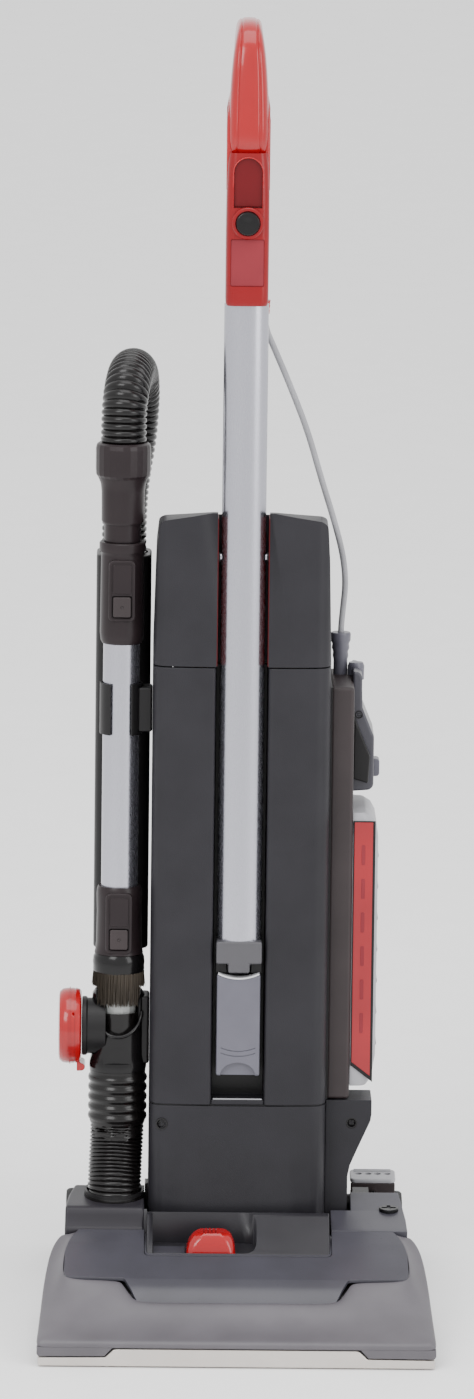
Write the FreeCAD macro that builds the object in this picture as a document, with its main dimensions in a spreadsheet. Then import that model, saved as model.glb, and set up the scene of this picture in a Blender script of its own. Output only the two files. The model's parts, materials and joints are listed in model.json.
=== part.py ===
"""Upright vacuum cleaner with an on-board wand, as a FreeCAD parametric document.

Millimetres, +Z up, front of the machine towards -Y.  Two frames are used while modelling:
the base frame, whose origin is on the floor under the recline axis, and the upright frame,
whose origin is on that axis and whose Z runs up the leaned body.  `seat` places each
sub-part from its own frame into the row frame, whose origin is the middle of the footprint.
"""
import FreeCAD, Part
import math
import os
import re

import Sketcher

V = FreeCAD.Vector
doc = FreeCAD.newDocument("upright_vacuum")

# ---------------------------------------------------------------- driving dimensions (mm, degrees)
DIMENSIONS = {
    # frame
    "frame_shift": 34.65, "hinge_rise": 75.0, "lean_angle": 4.5, "wall": 3.0, "gap": 0.3,
    # plan of the base
    "lip_half": 172.5, "lip_front": 240.0, "bumper_back": 188.3, "bumper_low": 17.0,
    "bumper_top": 43.5, "bumper_crest": 77.0, "shoulder_front": 136.0, "shoulder_half": 167.0,
    "flank_front": 108.0, "flank_half": 161.0, "waist_front": 96.0, "waist_half": 150.0,
    "side_low": 20.0,
    "guard_front": 240.0, "guard_back": 231.5, "guard_half": 104.0, "guard_tall": 16.5, "guard_low": 9.0,
    "plate_thick": 4.0, "plate_half": 165.0, "plate_back": 135.0,
    # brush chamber
    "brush_front": 160.0, "brush_rise": 24.0, "bristle_reach": 22.0, "chamber_radius": 24.0,
    "chamber_half": 143.0, "window_half": 140.0, "window_deep": 21.5, "core_radius": 14.0,
    "core_left": 136.0,
    "core_right": 114.0, "shaft_radius": 4.0, "running_fit": 0.05,
    # chassis behind the chamber
    "chassis_front": 187.5, "chassis_top": 61.0, "chassis_half": 147.0, "roof_thick": 2.6, "bay_front": 134.0, "bay_back": 88.0,
    "well_front": 84.0, "floor_top": 8.0, "bay_half": 140.0,
    "duct_left": 122.0, "duct_right": 88.0, "duct_low": 29.0, "duct_top": 53.0,
    "belt_left": 117.0, "belt_right": 131.0, "belt_low": 11.0, "belt_high": 49.0,
    # brush motor and belt
    "motor_front": 112.0, "motor_rise": 36.0, "motor_radius": 20.0, "motor_left": 10.0,
    "motor_right": 98.0, "pulley_radius": 10.0, "pulley_start": 120.0, "pulley_end": 128.0,
    "belt_thick": 1.6,
    # hood and shelves
    "hood_front": 188.0, "hood_low": 42.0, "hood_brow_front": 182.0, "hood_brow": 49.0,
    "hood_rise_front": 158.0, "hood_rise": 59.5, "hood_break": 134.0, "hood_crown": 67.0,
    "hood_back": 96.0, "hood_top": 79.0, "hood_rear": 137.5, "hood_side": 150.0,
    "step_out": 97.0, "step_in": 86.0, "step_front": 165.0,
    "shelf_front": 95.7, "shelf_lip": 86.0, "shelf_top": 96.0, "shelf_back": 20.0, "shelf_low": 62.2,
    "slope_front": 54.0, "slope_mid": 84.5, "slope_top": 91.0, "well_left": 80.5, "well_right": 101.0,
    "console_left": 79.5, "console_right": 82.5, "console_top": 92.0, "console_back": 84.3,
    "console_front": 134.0, "recess_left": 73.0, "recess_right": 18.0, "recess_front": 131.0,
    "recess_back": 87.0,
    "console_floor": 64.0, "console_base": 62.3,
    # arms and wheels
    "arm_inner_left": 84.0, "arm_inner_right": 104.0, "arm_outer": 124.0, "arm_back": 92.0,
    "arm_low": 10.0, "arm_top": 58.0, "axle_back": 80.0, "axle_radius": 5.0, "axle_tip": 150.5,
    "wheel_radius": 30.0, "wheel_in": 128.0, "wheel_out": 151.0, "wheel_dish": 21.0,
    "trunnion_radius": 8.0, "block_half": 11.3, "block_top": 86.0, "block_left": 96.0,
    "block_right": 118.0,
    # base hose socket
    "socket_left": 107.0, "socket_front": 50.0, "socket_bore": 24.3, "socket_radius": 26.0,
    "socket_throat": 20.0, "socket_step": 86.0, "socket_top": 102.0, "hose_radius": 24.0,
    "hose_bore": 20.5,
    # front rollers, carriage and height knob
    "roller_front": 98.0, "roller_radius": 11.0, "roller_rise": 11.2, "roller_in": 104.0,
    "roller_out": 116.0, "roller_axle": 3.0, "carriage_front": 134.0, "carriage_depth": 6.0,
    "carriage_low": 9.0, "carriage_top": 14.0, "carriage_pivot": 131.0, "carriage_rise": 11.5,
    "carriage_pin": 2.0, "arm_in": 92.0, "arm_out": 98.0,
    "knob_middle": 22.0, "knob_half": 21.5, "knob_front": 128.0, "knob_back": 100.0,
    "knob_top": 84.0, "knob_crest": 6.0,
    # release pedal
    "pedal_left": 102.0, "pedal_right": 143.0, "pedal_pivot": 20.0, "pedal_rise": 72.0,
    "pedal_back": 59.0, "pedal_low": 84.0, "pedal_top": 88.0, "pedal_pin": 3.0, "pedal_hub": 6.0,
    "pedal_hole": 3.0, "hub_left": 107.0, "hub_right": 121.0,
    # upright shells (upright frame)
    "body_half": 77.5, "face": 75.0, "cheek": 58.0, "cheek_half": 68.0, "split": 20.0,
    "back": 94.0, "skirt_low": -50.0, "seam_low": 103.0, "seam_high": 491.5, "crown_edge": 612.0,
    "crown_corner": 618.0, "crown_peak": 628.0, "crown_drop": 51.0, "crown_half": 73.5, "deck_low": 196.0,
    "channel_half": 22.5, "channel_floor": 47.0, "channel_low": 109.0,
    # door of the bag chamber
    "door_half": 60.0, "door_low": 262.0, "door_top": 478.0, "door_out": 97.0, "door_pivot": 99.0,
    "door_pin": 2.0, "door_barrel": 3.8,
    # handle
    "tube_half_wide": 19.25, "tube_half_deep": 14.0, "tube_front": 63.0, "tube_low": 250.0,
    "tube_top": 808.0, "pin_height": 587.0, "pin_radius": 3.0, "collar_low": 230.0,
    "collar_half": 20.0, "tab_half": 9.5, "tab_low": 222.0,
    "latch_half": 19.0, "latch_low": 124.0, "latch_top": 221.0, "latch_front": 76.0,
    "grip_half": 14.0, "housing_half": 18.5, "housing_front": 84.0, "housing_back": 38.0,
    "housing_top": 926.0, "grip_top": 1052.0, "grip_back": 16.0, "switch_height": 880.0,
    "boss_radius": 13.5, "button_radius": 10.5, "boss_front": 89.0, "button_front": 91.5,
    "inlet_height": 858.0, "inlet_radius": 7.0,
    # side housing, filter and cover
    "side_in": 77.8, "side_out": 98.5, "side_front": 45.0, "side_back": 60.0, "side_high": 470.0,
    "corner_low": -24.0, "corner_flare": 118.5, "flare_low": 57.0, "flare_high": 87.0,
    "filter_low": 116.0, "filter_high": 356.0, "cover_out": 121.5, "cover_low": 114.0,
    "cover_high": 358.0, "cover_back": 58.0, "cover_front": 40.0, "cover_pivot_out": 102.2,
    "cover_pivot_back": 61.5, "cover_pin": 1.8, "cover_barrel": 3.4,
    "pod_low": 372.0, "pod_wide": 117.0, "pod_shoulder": 417.0, "pod_neck": 106.0, "pod_back": 58.0,
    "pod_front": -8.0, "bump_low": 380.0, "bump_high": 396.0, "bump_out": 122.8,
    # wand and hose, left side
    "wand_left": 105.0, "wand_front": 38.0, "wand_radius": 16.0, "wand_bore": 14.6,
    "wand_low": 152.0, "wand_high": 520.0, "lower_collar": 20.0, "lower_collar_low": 232.0,
    "lower_collar_high": 292.0, "upper_collar": 19.0, "upper_collar_low": 507.0,
    "upper_collar_high": 596.0, "brush_ring": 22.0, "bristle_low": 200.5, "ring_low": 215.0,
    "inner_radius": 14.3, "inner_bore": 12.8, "inner_low": 300.0, "neck_radius": 18.5,
    "neck_low": 613.0, "neck_high": 653.0, "cuff_radius": 24.0, "cuff_high": 683.0,
    "thumb_half": 8.0, "thumb_tall": 18.0, "upper_thumb": 532.0, "lower_thumb": 238.0, "thumb_out": 2.6,
    "elbow_radius": 23.0, "elbow_bore": 19.0, "elbow_low": 128.0, "elbow_high": 200.0,
    "scoop_low": 158.0, "scoop_back": 4.0, "port_radius": 26.0, "port_bore": 19.5, "port_height": 166.0,
    "port_out": 136.7, "cap_radius": 33.0, "cap_out": 157.0, "cap_pivot": 131.3, "cap_pin": 1.4,
    "cap_knuckle": 3.0, "knuckle_near": 7.5, "knuckle_far": 13.0,
    "ribbed_radius": 26.0, "ribbed_low": 80.0, "rib_deep": 1.6, "rib_pitch": 8.5,
    "guide_left": 128.0, "guide_right": 79.5, "guide_front": 34.0, "guide_back": 90.0,
    "guide_low": 220.0, "guide_high": 572.0, "guide_middle": 62.0, "guide_bore": 21.3,
    "guide_axis": 104.0, "flex_radius": 20.0, "flex_split": 405.0, "clip_low": 427.0, "clip_high": 472.0,
    "clip_radius": 19.5, "clip_bore": 16.5, "grommet_out": 87.3, "grommet_back": 30.0,
    "grommet_low": 470.0, "grommet_high": 507.0, "cord_radius": 2.7,
    # cord hooks
    "hook_height": 560.0, "hook_low": 225.0, "hook_post": 6.0, "hook_back": 118.0, "hook_tip": 124.0,
    "hook_reach": 40.0, "hook_half": 9.0,
    # inside the upright
    "fan_radius": 58.0, "fan_low": 102.0, "fan_high": 150.0, "stator_radius": 40.0, "stator_low": -44.0,
    "fan_back": 24.0, "fan_neck": 23.0, "deck_inlet": 24.0, "bag_half": 64.0, "bag_front": 32.0,
    "bag_back": 82.0, "bag_low": 206.0, "bag_high": 572.0,
    # screws of the covers
    "screw_radius": 4.0, "screw_left": 66.0, "screw_height": 86.0, "screw_right": 101.0,
}

sheet = doc.addObject("Spreadsheet::Sheet", "Dims")
for row, (alias, value) in enumerate(DIMENSIONS.items(), 1):
    sheet.set(f"A{row}", alias)
    sheet.set(f"B{row}", str(value))
    sheet.setAlias(f"B{row}", alias)
doc.recompute()

WORDS = re.compile(r"\b(" + "|".join(sorted(DIMENSIONS, key=len, reverse=True)) + r")\b")


def bound(text):
    """The text with every dimension name turned into a reference to its cell."""
    return WORDS.sub(r"Dims.\1", str(text))


def dim(alias):
    return float(sheet.get(alias))


# ---------------------------------------------------------------- sketches, slabs and tools
PLANES = {  # plane: (origin plane's role, turn of a free sketch, axis of its normal)
    "XY": ("XY_Plane", FreeCAD.Rotation(), "z"),
    "XZ": ("XZ_Plane", FreeCAD.Rotation(V(1, 0, 0), 90), "y"),
    "YZ": ("YZ_Plane", FreeCAD.Rotation(V(1, 1, 1), 120), "x"),
}


def start_of(plane, span, from_far_end=False):
    """Where a sketch sits along its plane's normal; the normal of XZ points to -Y."""
    low, high = span
    if plane == "XZ":
        return f"-({low})" if from_far_end else f"-({high})"
    return f"{high}" if from_far_end else f"{low}"


def polygon(sketch, points):
    """A closed outline whose corners are bound to the sheet."""
    count, first = len(points), sketch.GeometryCount
    ring = [V(100 * math.cos(2 * math.pi * i / count), 100 * math.sin(2 * math.pi * i / count), 0)
            for i in range(count)]
    for i in range(count):
        sketch.addGeometry(Part.LineSegment(ring[i], ring[(i + 1) % count]), False)
    for i in range(count):
        sketch.addConstraint(Sketcher.Constraint("Coincident", first + i, 2, first + (i + 1) % count, 1))
    for i, point in enumerate(points):
        for kind, text in zip(("DistanceX", "DistanceY"), point):
            index = sketch.addConstraint(Sketcher.Constraint(kind, -1, 1, first + i, 1, 1.0))
            sketch.setExpression(f"Constraints[{index}]", bound(text))


def circle(sketch, across, along, radius):
    first = sketch.GeometryCount
    sketch.addGeometry(Part.Circle(V(0, 0, 0), V(0, 0, 1), 10), False)
    for kind, text in (("DistanceX", across), ("DistanceY", along)):
        index = sketch.addConstraint(Sketcher.Constraint(kind, -1, 1, first, 3, 1.0))
        sketch.setExpression(f"Constraints[{index}]", bound(text))
    index = sketch.addConstraint(Sketcher.Constraint("Radius", first, 10.0))
    sketch.setExpression(f"Constraints[{index}]", bound(radius))


def draw(sketch, loops):
    for loop in loops:
        if isinstance(loop, tuple):
            circle(sketch, *loop)
        else:
            polygon(sketch, loop)


def rect(u_low, u_high, v_low, v_high):
    return [(u_low, v_low), (u_high, v_low), (u_high, v_high), (u_low, v_high)]


def sketch_in(body, name, plane, loops, start):
    sketch = body.newObject("Sketcher::SketchObject", name)
    role = PLANES[plane][0]
    origin = next(item for item in body.Origin.OriginFeatures if item.Role == role)
    sketch.AttachmentSupport = (origin, [""])
    sketch.MapMode = "FlatFace"
    draw(sketch, loops)
    sketch.setExpression("AttachmentOffset.Base.z", bound(start))
    return sketch


def padded(name, plane, span, *loops):
    """A PartDesign body: the first loop padded over the span, later loops as holes through it."""
    body = doc.addObject("PartDesign::Body", name)
    sketch = sketch_in(body, name + "_outline", plane, loops, start_of(plane, span))
    pad = body.newObject("PartDesign::Pad", name + "_pad")
    pad.Profile = sketch
    pad.setExpression("Length", bound(f"({span[1]}) - ({span[0]})"))
    return body


def rounded(body, radius, choose):
    """A PartDesign fillet on the edges whose middle and direction `choose` accepts."""
    doc.recompute()
    base = body.Tip
    names = []
    for number, edge in enumerate(base.Shape.Edges, 1):
        first, last = edge.ParameterRange
        tangent = edge.tangentAt((first + last) / 2)
        if choose(edge.valueAt((first + last) / 2), tangent):
            names.append(f"Edge{number}")
    fillet = body.newObject("PartDesign::Fillet", body.Name + f"_round{len(body.Group)}")
    fillet.Base = (base, names)
    fillet.setExpression("Radius", bound(radius))
    return body


def slab(name, plane, span, *loops):
    """A free extrusion, used as an operand of booleans."""
    sketch = doc.addObject("Sketcher::SketchObject", name + "_outline")
    role, turn, letter = PLANES[plane]
    sketch.Placement = FreeCAD.Placement(V(0, 0, 0), turn)
    start = span[1] if plane == "XZ" else span[0]
    sketch.setExpression("Placement.Base." + letter, bound(start))
    draw(sketch, loops)
    solid = doc.addObject("Part::Extrusion", name)
    solid.Base = sketch
    solid.DirMode = "Normal"
    solid.Solid = True
    solid.setExpression("LengthFwd", bound(f"({span[1]}) - ({span[0]})"))
    return solid


def block(name, across, along, up):
    """A box between three pairs of planes."""
    box = doc.addObject("Part::Box", name)
    for size, letter, (low, high) in zip(("Length", "Width", "Height"), "xyz", (across, along, up)):
        box.setExpression(size, bound(f"({high}) - ({low})"))
        box.setExpression("Placement.Base." + letter, bound(low))
    return box


def rod(name, axis, centre, radius, span, end_radius=None):
    """A cylinder, or a cone, along an axis; centre gives its other two coordinates in order."""
    kind = "Part::Cylinder" if end_radius is None else "Part::Cone"
    solid = doc.addObject(kind, name)
    if end_radius is None:
        solid.setExpression("Radius", bound(radius))
    else:
        solid.setExpression("Radius1", bound(radius))
        solid.setExpression("Radius2", bound(end_radius))
    solid.setExpression("Height", bound(f"({span[1]}) - ({span[0]})"))
    turn = {"x": FreeCAD.Rotation(V(0, 1, 0), 90), "y": FreeCAD.Rotation(V(1, 0, 0), -90),
            "z": FreeCAD.Rotation()}[axis]
    solid.Placement = FreeCAD.Placement(V(0, 0, 0), turn)
    places = dict(zip([letter for letter in "xyz" if letter != axis], centre))
    places[axis] = span[0]
    for letter, text in places.items():
        solid.setExpression("Placement.Base." + letter, bound(text))
    return solid


def fused(name, *solids):
    result = doc.addObject("Part::MultiFuse", name)
    result.Shapes = list(solids)
    return result


def cut(name, base, *tools):
    result = doc.addObject("Part::Cut", name)
    result.Base = base
    result.Tool = tools[0] if len(tools) == 1 else fused(name + "_tools", *tools)
    return result


# ---------------------------------------------------------------- sub-parts and their places
NODES = []
TO_ROW = FreeCAD.Placement(V(0, dim("frame_shift"), 0), FreeCAD.Rotation())
LEAN = FreeCAD.Placement(V(0, dim("frame_shift"), dim("hinge_rise")),
                         FreeCAD.Rotation(V(1, 0, 0), -dim("lean_angle")))


def seat(solid, frame, label=None):
    """Gives a finished sub-part its label and its place in the row frame."""
    solid.Label = label or solid.Name
    solid.Placement = frame
    NODES.append(solid)
    return solid


def base_part(solid):
    return seat(solid, TO_ROW)


def upright_part(solid):
    return seat(solid, LEAN)


def plain_part(name, shape):
    """A swept or slanted piece whose shape is already in the row frame."""
    solid = doc.addObject("Part::Feature", name)
    solid.Shape = shape
    solid.Label = name
    NODES.append(solid)
    return solid


def base_point(x, y, z):
    return TO_ROW.multVec(V(x, y, z))


def upright_point(x, y, z):
    return LEAN.multVec(V(x, y, z))


SIDES = (("left", "-"), ("right", ""))


def between(sign, near, far):
    """A span from near to far on one side of the machine, in rising order."""
    return (f"-({far})", f"-({near})") if sign == "-" else (near, far)


# ---------------------------------------------------------------- base: chassis and nozzle
def chassis_profile(skin):
    """Side outline of the chassis, grown by a skin where the bumper has to clear it."""
    return [(f"-chassis_front - {skin}", f"plate_thick - {skin}"), ("-well_front", f"plate_thick - {skin}"),
            ("-well_front", f"chassis_top + {skin}"),
            ("-brush_front + chamber_radius", f"chassis_top + {skin}"),
            ("-brush_front", f"brush_rise + chamber_radius + roof_thick + {skin}"),
            ("-brush_front - 16", f"brush_rise + chamber_radius - 2 + {skin}"),
            (f"-chassis_front - {skin}", f"brush_rise + 12 + {skin}")]


def make_chassis_front():
    """Brush chamber, motor bay and the rectangular duct that leads left and back."""
    outer = slab("chassis_block", "YZ", ("-chassis_half", "chassis_half"), chassis_profile("0"))
    chamber = rod("chamber_round", "x", ("-brush_front", "brush_rise"), "chamber_radius",
                  ("-chamber_half", "chamber_half"))
    mouth = block("chamber_mouth", ("-chamber_half", "chamber_half"),
                  ("-brush_front - window_deep", "-brush_front + window_deep"),
                  ("0", "brush_rise"))
    bay = block("motor_bay", ("-80", "bay_half"), ("-bay_front", "-bay_back"), ("floor_top", "70"))
    bearing = rod("bearing_bore", "x", ("-brush_front", "brush_rise"), "shaft_radius + running_fit",
                  ("-chassis_half - 1", "chassis_half + 1"))
    duct = block("duct_bore", ("-duct_left", "-duct_right"), ("-brush_front + 15", "-well_front + 1"),
                 ("duct_low", "duct_top"))
    belt = block("belt_slot", ("belt_left", "belt_right"), ("-brush_front", "-bay_front + 1"),
                 ("belt_low", "belt_high"))
    wells = [block(f"roller_well_{side}", between(sign, "arm_in - 3", "roller_out + 3"),
                   ("-roller_front - 30", "-roller_front + roller_radius + 1.5"),
                   ("0", "roller_rise + 16")) for side, sign in SIDES]
    slot = block("axle_slot", ("-arm_in", "arm_in"), ("-roller_front - 8", "-bay_back"),
                 ("0", "roller_rise + 8"))
    trough = block("carriage_trough", ("-arm_out - 2", "arm_out + 2"),
                   ("-carriage_front - 1", "-roller_front - 20"), ("floor_top", "carriage_top + 2"))
    hollow = cut("chassis_hollow", outer, chamber, mouth, bay, bearing, duct, belt, *wells, slot, trough)
    post = block("carriage_post", ("arm_out + 1.5", "arm_out + 5.5"),
                 ("-bay_front - 1", "-carriage_pivot + 4.5"), ("floor_top - 1", "carriage_rise + 5"))
    pivot = rod("carriage_pivot_bore", "x", ("-carriage_pivot", "carriage_rise"),
                "carriage_pin + running_fit", ("-arm_out - 6", "arm_out + 6"))
    return base_part(cut("chassis_front", fused("chassis_whole", hollow, post), pivot))


def make_nozzle():
    """Flat plate that rests on the floor, with the brush window, and the bright front guard."""
    window = rect("-window_half", "window_half", "-brush_front - window_deep", "-brush_front + window_deep")
    plate = padded("nozzle_plate", "XY", ("0", "plate_thick - 0.2"),
                   rect("-plate_half", "plate_half", "-guard_back + gap", "-plate_back"), window)
    base_part(plate)
    guard = padded("nozzle_guard", "XZ", ("-guard_front", "-guard_back"),
                   [("-lip_half + 1", "1"), ("lip_half - 1", "1"), ("lip_half - 1", "guard_low"),
                    ("guard_half + 8", "guard_low"), ("guard_half", "guard_tall"),
                    ("-guard_half", "guard_tall"), ("-guard_half - 8", "guard_low"),
                    ("-lip_half + 1", "guard_low")])
    base_part(guard)


def hood_plan(grow, notch):
    """Outline of the hood seen from above: stepped in front, notched round the console behind."""
    half = [(f"hood_rear + {grow}", f"-hood_back + {grow}"), (f"hood_side - 2 + {grow}", "-hood_back - 28"),
            (f"hood_side + {grow}", "-hood_back - 44"), (f"hood_side + {grow}", "-step_front + 9"),
            (f"hood_side - 4 + {grow}", f"-step_front + 3 - {grow}"),
            (f"step_out + {grow}", f"-step_front - {grow}"), (f"step_in + {grow}", f"-hood_front + 3 - {grow}"),
            (f"step_in - 3", f"-hood_front - {grow}")]
    mirrored = [(f"-({across})", along) for across, along in reversed(half)]
    middle = [("-console_left - gap", "-hood_back"), ("-console_left - gap", "-console_front - gap"),
              ("console_right + gap", "-console_front - gap"), ("console_right + gap", "-hood_back")]
    return half + mirrored + (middle if notch else [])


def make_bumper():
    """Soft rail round the hood: wide in front, with a slanted face, and narrow along both sides."""
    outline = [("waist_half", "-waist_front"), ("flank_half", "-flank_front"),
               ("shoulder_half", "-shoulder_front"), ("lip_half", "-lip_front")]
    outline += [(f"-{across}", along) for across, along in reversed(outline)]
    plan = slab("bumper_plan", "XY", ("0", "120"), outline)
    profile = slab("bumper_profile", "YZ", ("-lip_half", "lip_half"),
                   [("-lip_front", "bumper_low"), ("-lip_front", "bumper_low + 5"),
                    ("-lip_front + 6", "bumper_low + 8"), ("-bumper_back - 24", "bumper_top - 12"),
                    ("-bumper_back", "bumper_top"), ("-hood_rise_front", "hood_rise - 2"),
                    ("-hood_break", "hood_crown - 2"), ("-waist_front", "bumper_crest"),
                    ("-waist_front", "bumper_low")])
    whole = doc.addObject("Part::MultiCommon", "bumper_whole")
    whole.Shapes = [profile, plan]
    middle = slab("bumper_middle", "XY", ("0", "120"), hood_plan("gap", False))
    inside = slab("bumper_inside", "YZ", ("-chassis_half - gap", "chassis_half + gap"), chassis_profile("0.4"))
    return base_part(cut("bumper", whole, middle, inside))


def make_hood():
    """Sloping front cover, a shell open underneath."""
    skin = slab("hood_skin", "YZ", ("-hood_side", "hood_side"),
                [("-hood_front", "hood_low"), ("-hood_brow_front", "hood_brow"),
                 ("-hood_rise_front", "hood_rise"), ("-hood_break", "hood_crown"),
                 ("-hood_back", "hood_top"), ("-hood_back", "hood_top - wall"),
                 ("-hood_break", "hood_crown - wall"), ("-hood_rise_front", "hood_rise - wall"),
                 ("-hood_brow_front + 1", "hood_brow - wall"), ("-hood_front + 2", "hood_low")])
    plan = slab("hood_outline", "XY", ("0", "120"), hood_plan("0", True))
    hood = doc.addObject("Part::MultiCommon", "hood")
    hood.Shapes = [skin, plan]
    return base_part(hood)


def shelf_profiles(side):
    """Outer and inner side outlines of a rear hood: flat with a lip on the left, sloping on the right."""
    if side == "left":
        outer = [("-shelf_lip - 2", "shelf_top - 2"), ("-shelf_lip + 2", "shelf_top"),
                 ("-shelf_back", "shelf_top")]
        inner = [("-shelf_lip + 1", "shelf_top - 6"), ("-shelf_lip + 4", "shelf_top - wall"),
                 ("-shelf_back - wall", "shelf_top - wall")]
    else:
        outer = [("-slope_front", "slope_mid"), ("-shelf_back", "slope_top")]
        inner = [("-slope_front", "slope_mid - wall"), ("-shelf_back - wall", "slope_top - wall - 0.5")]
    outer = [("-shelf_front", "shelf_low"), ("-shelf_front", "hood_top")] + outer + [("-shelf_back", "shelf_low")]
    inner = [("-shelf_front + wall", "0"), ("-shelf_front + wall", "hood_top - 3.5")] + inner
    return outer, inner + [("-shelf_back - wall", "0")]


def make_shelf(side, sign):
    """Rear hood half: a box-like cover beside the upright, open below and towards it."""
    inner_edge = "well_left" if sign == "-" else "console_right + 0.5"
    outer_line, inner_line = shelf_profiles(side)
    outer = slab(f"shelf_outer_{side}", "YZ", between(sign, inner_edge, "waist_half"), outer_line)
    inner = slab(f"shelf_inner_{side}", "YZ", between(sign, f"{inner_edge} - 1", "waist_half - wall"),
                 inner_line)
    skirt = block(f"shelf_skirt_{side}", between(sign, "waist_half - 2.6", "waist_half"),
                  ("-shelf_front", "-shelf_back"), ("side_low", "shelf_low + 1"))
    if sign == "-":
        tool = rod("shelf_hose_hole", "z", ("-socket_left", "-socket_front"), "socket_radius + gap",
                   ("0", "200"))
    else:
        tool = block("shelf_foot_notch", ("0", "well_right"), ("-slope_front", "0"), ("0", "200"))
    shell = cut(f"shelf_shell_{side}", outer, inner, tool)
    return base_part(fused(f"rear_hood_{side}", shell, skirt))


def make_console():
    """Wedge in front of the upright with the recess that the height knob slides in."""
    wedge = slab("console_wedge", "YZ", ("-console_left", "console_right"),
                 [("-console_front", "console_base"), ("-console_front", "hood_crown + 0.5"),
                  ("-console_back - 6", "console_top"), ("-console_back", "console_top"),
                  ("-console_back", "console_base")])
    recess = block("knob_recess", ("-recess_left", "recess_right"), ("-recess_front", "-recess_back"),
                   ("console_floor", "120"))
    return base_part(cut("knob_console", wedge, recess))


def make_arm(side, sign):
    """Side arm of the chassis with the recline bearing and the stub axle of a rear wheel."""
    inner = "arm_inner_left" if sign == "-" else "arm_inner_right"
    beam = block(f"arm_beam_{side}", between(sign, inner, "arm_outer"),
                 ("-well_front + 0.01", "arm_back"), ("arm_low", "arm_top"))
    stub = rod(f"arm_stub_{side}", "x", ("axle_back", "wheel_radius"), "axle_radius",
               between(sign, "arm_outer - 1", "axle_tip"))
    near, far = ("well_left", "block_left") if sign == "-" else ("arm_inner_right", "block_right")
    bearing = block(f"recline_block_{side}", between(sign, near, far),
                    ("-block_half", "block_half"), ("arm_top - 1", "block_top"))
    bore = rod(f"recline_bore_{side}", "x", ("0", "hinge_rise"), "trunnion_radius + running_fit",
               between(sign, "0", "200"))
    if sign == "-":
        riser = rod("socket_riser", "z", ("-socket_left", "-socket_front"), "socket_radius",
                    ("arm_top", "socket_top"))
        throat = rod("socket_throat_bore", "z", ("-socket_left", "-socket_front"), "socket_throat",
                     ("arm_top - 10", "socket_top + 1"))
        seat_bore = rod("socket_seat", "z", ("-socket_left", "-socket_front"), "socket_bore",
                        ("socket_step", "socket_top + 1"))
        flange = rod("socket_flange", "z", ("-socket_left", "-socket_front"), "socket_radius",
                     ("arm_top - 6", "arm_top"))
        channel = block("arm_channel", ("-duct_left", "-duct_right"),
                        ("-well_front - 1", "-socket_front + socket_throat"), ("duct_low", "duct_top"))
        solids = [beam, stub, bearing, riser, flange]
        return base_part(cut("arm_left", fused("arm_left_whole", *solids), bore, throat, seat_bore,
                             channel))
    ears = [block(f"pedal_ear_{i}", (low, high), ("pedal_pivot - 6.5", "pedal_pivot + 6.5"),
                  ("arm_top - 1", "pedal_rise + 6"))
            for i, (low, high) in enumerate((("arm_inner_right", "hub_left - 0.4"),
                                             ("hub_right + 0.4", "arm_outer")))]
    pin = rod("pedal_rod", "x", ("pedal_pivot", "pedal_rise"), "pedal_pin",
              ("arm_inner_right", "arm_outer"))
    return base_part(cut("arm_right", fused("arm_right_whole", beam, stub, bearing, *ears, pin), bore))


def make_base():
    make_chassis_front()
    make_nozzle()
    make_bumper()
    make_hood()
    make_console()
    for side, sign in SIDES:
        make_shelf(side, sign)
        make_arm(side, sign)


# ---------------------------------------------------------------- brush drive
def make_brush_drive():
    """Brush roll with its belt pulley, four bristle rows, the belt, the motor and its pulley."""
    axis = ("-brush_front", "brush_rise")
    core = rod("core_drum", "x", axis, "core_radius", ("-core_left", "core_right"))
    shaft = rod("core_shaft", "x", axis, "shaft_radius", ("-chassis_half + 1", "chassis_half - 1"))
    pulley = rod("core_pulley", "x", axis, "pulley_radius", ("pulley_start", "pulley_end"))
    base_part(fused("brush_core", core, shaft, pulley))
    rows = [block(f"bristle_row_{i}", ("-core_left + 4", "core_right - 4"), along, up)
            for i, (along, up) in enumerate((
                (("-brush_front - 3", "-brush_front + 3"),
                 ("brush_rise - bristle_reach", "brush_rise + bristle_reach")),
                (("-brush_front - bristle_reach", "-brush_front + bristle_reach"),
                 ("brush_rise - 3", "brush_rise + 3"))))]
    inside = rod("bristle_inside", "x", axis, "core_radius", ("-core_left", "core_right"))
    base_part(cut("brush_bristles", fused("bristle_cross", *rows), inside))
    can = rod("motor_can", "x", ("-motor_front", "motor_rise"), "motor_radius",
              ("motor_left", "motor_right"))
    nose = rod("motor_nose", "x", ("-motor_front", "motor_rise"), "6",
               ("motor_right - 1", "pulley_start - 2"))
    shaft_hole = rod("motor_shaft_hole", "x", ("-motor_front", "motor_rise"),
                     "shaft_radius + running_fit", ("motor_right - 30", "pulley_start"))
    cradle = block("motor_cradle", ("motor_left + 12", "motor_right - 22"),
                   ("-motor_front - 12", "-motor_front + 12"), ("carriage_top + 2.2", "motor_rise"))
    base_part(cut("brush_motor", fused("motor_whole", can, nose, cradle), shaft_hole))
    motor_shaft = rod("motor_shaft", "x", ("-motor_front", "motor_rise"), "shaft_radius",
                      ("motor_right - 25", "pulley_end"))
    wheel = rod("motor_wheel", "x", ("-motor_front", "motor_rise"), "pulley_radius",
                ("pulley_start", "pulley_end"))
    base_part(fused("motor_pulley", motor_shaft, wheel))
    make_belt()


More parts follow.
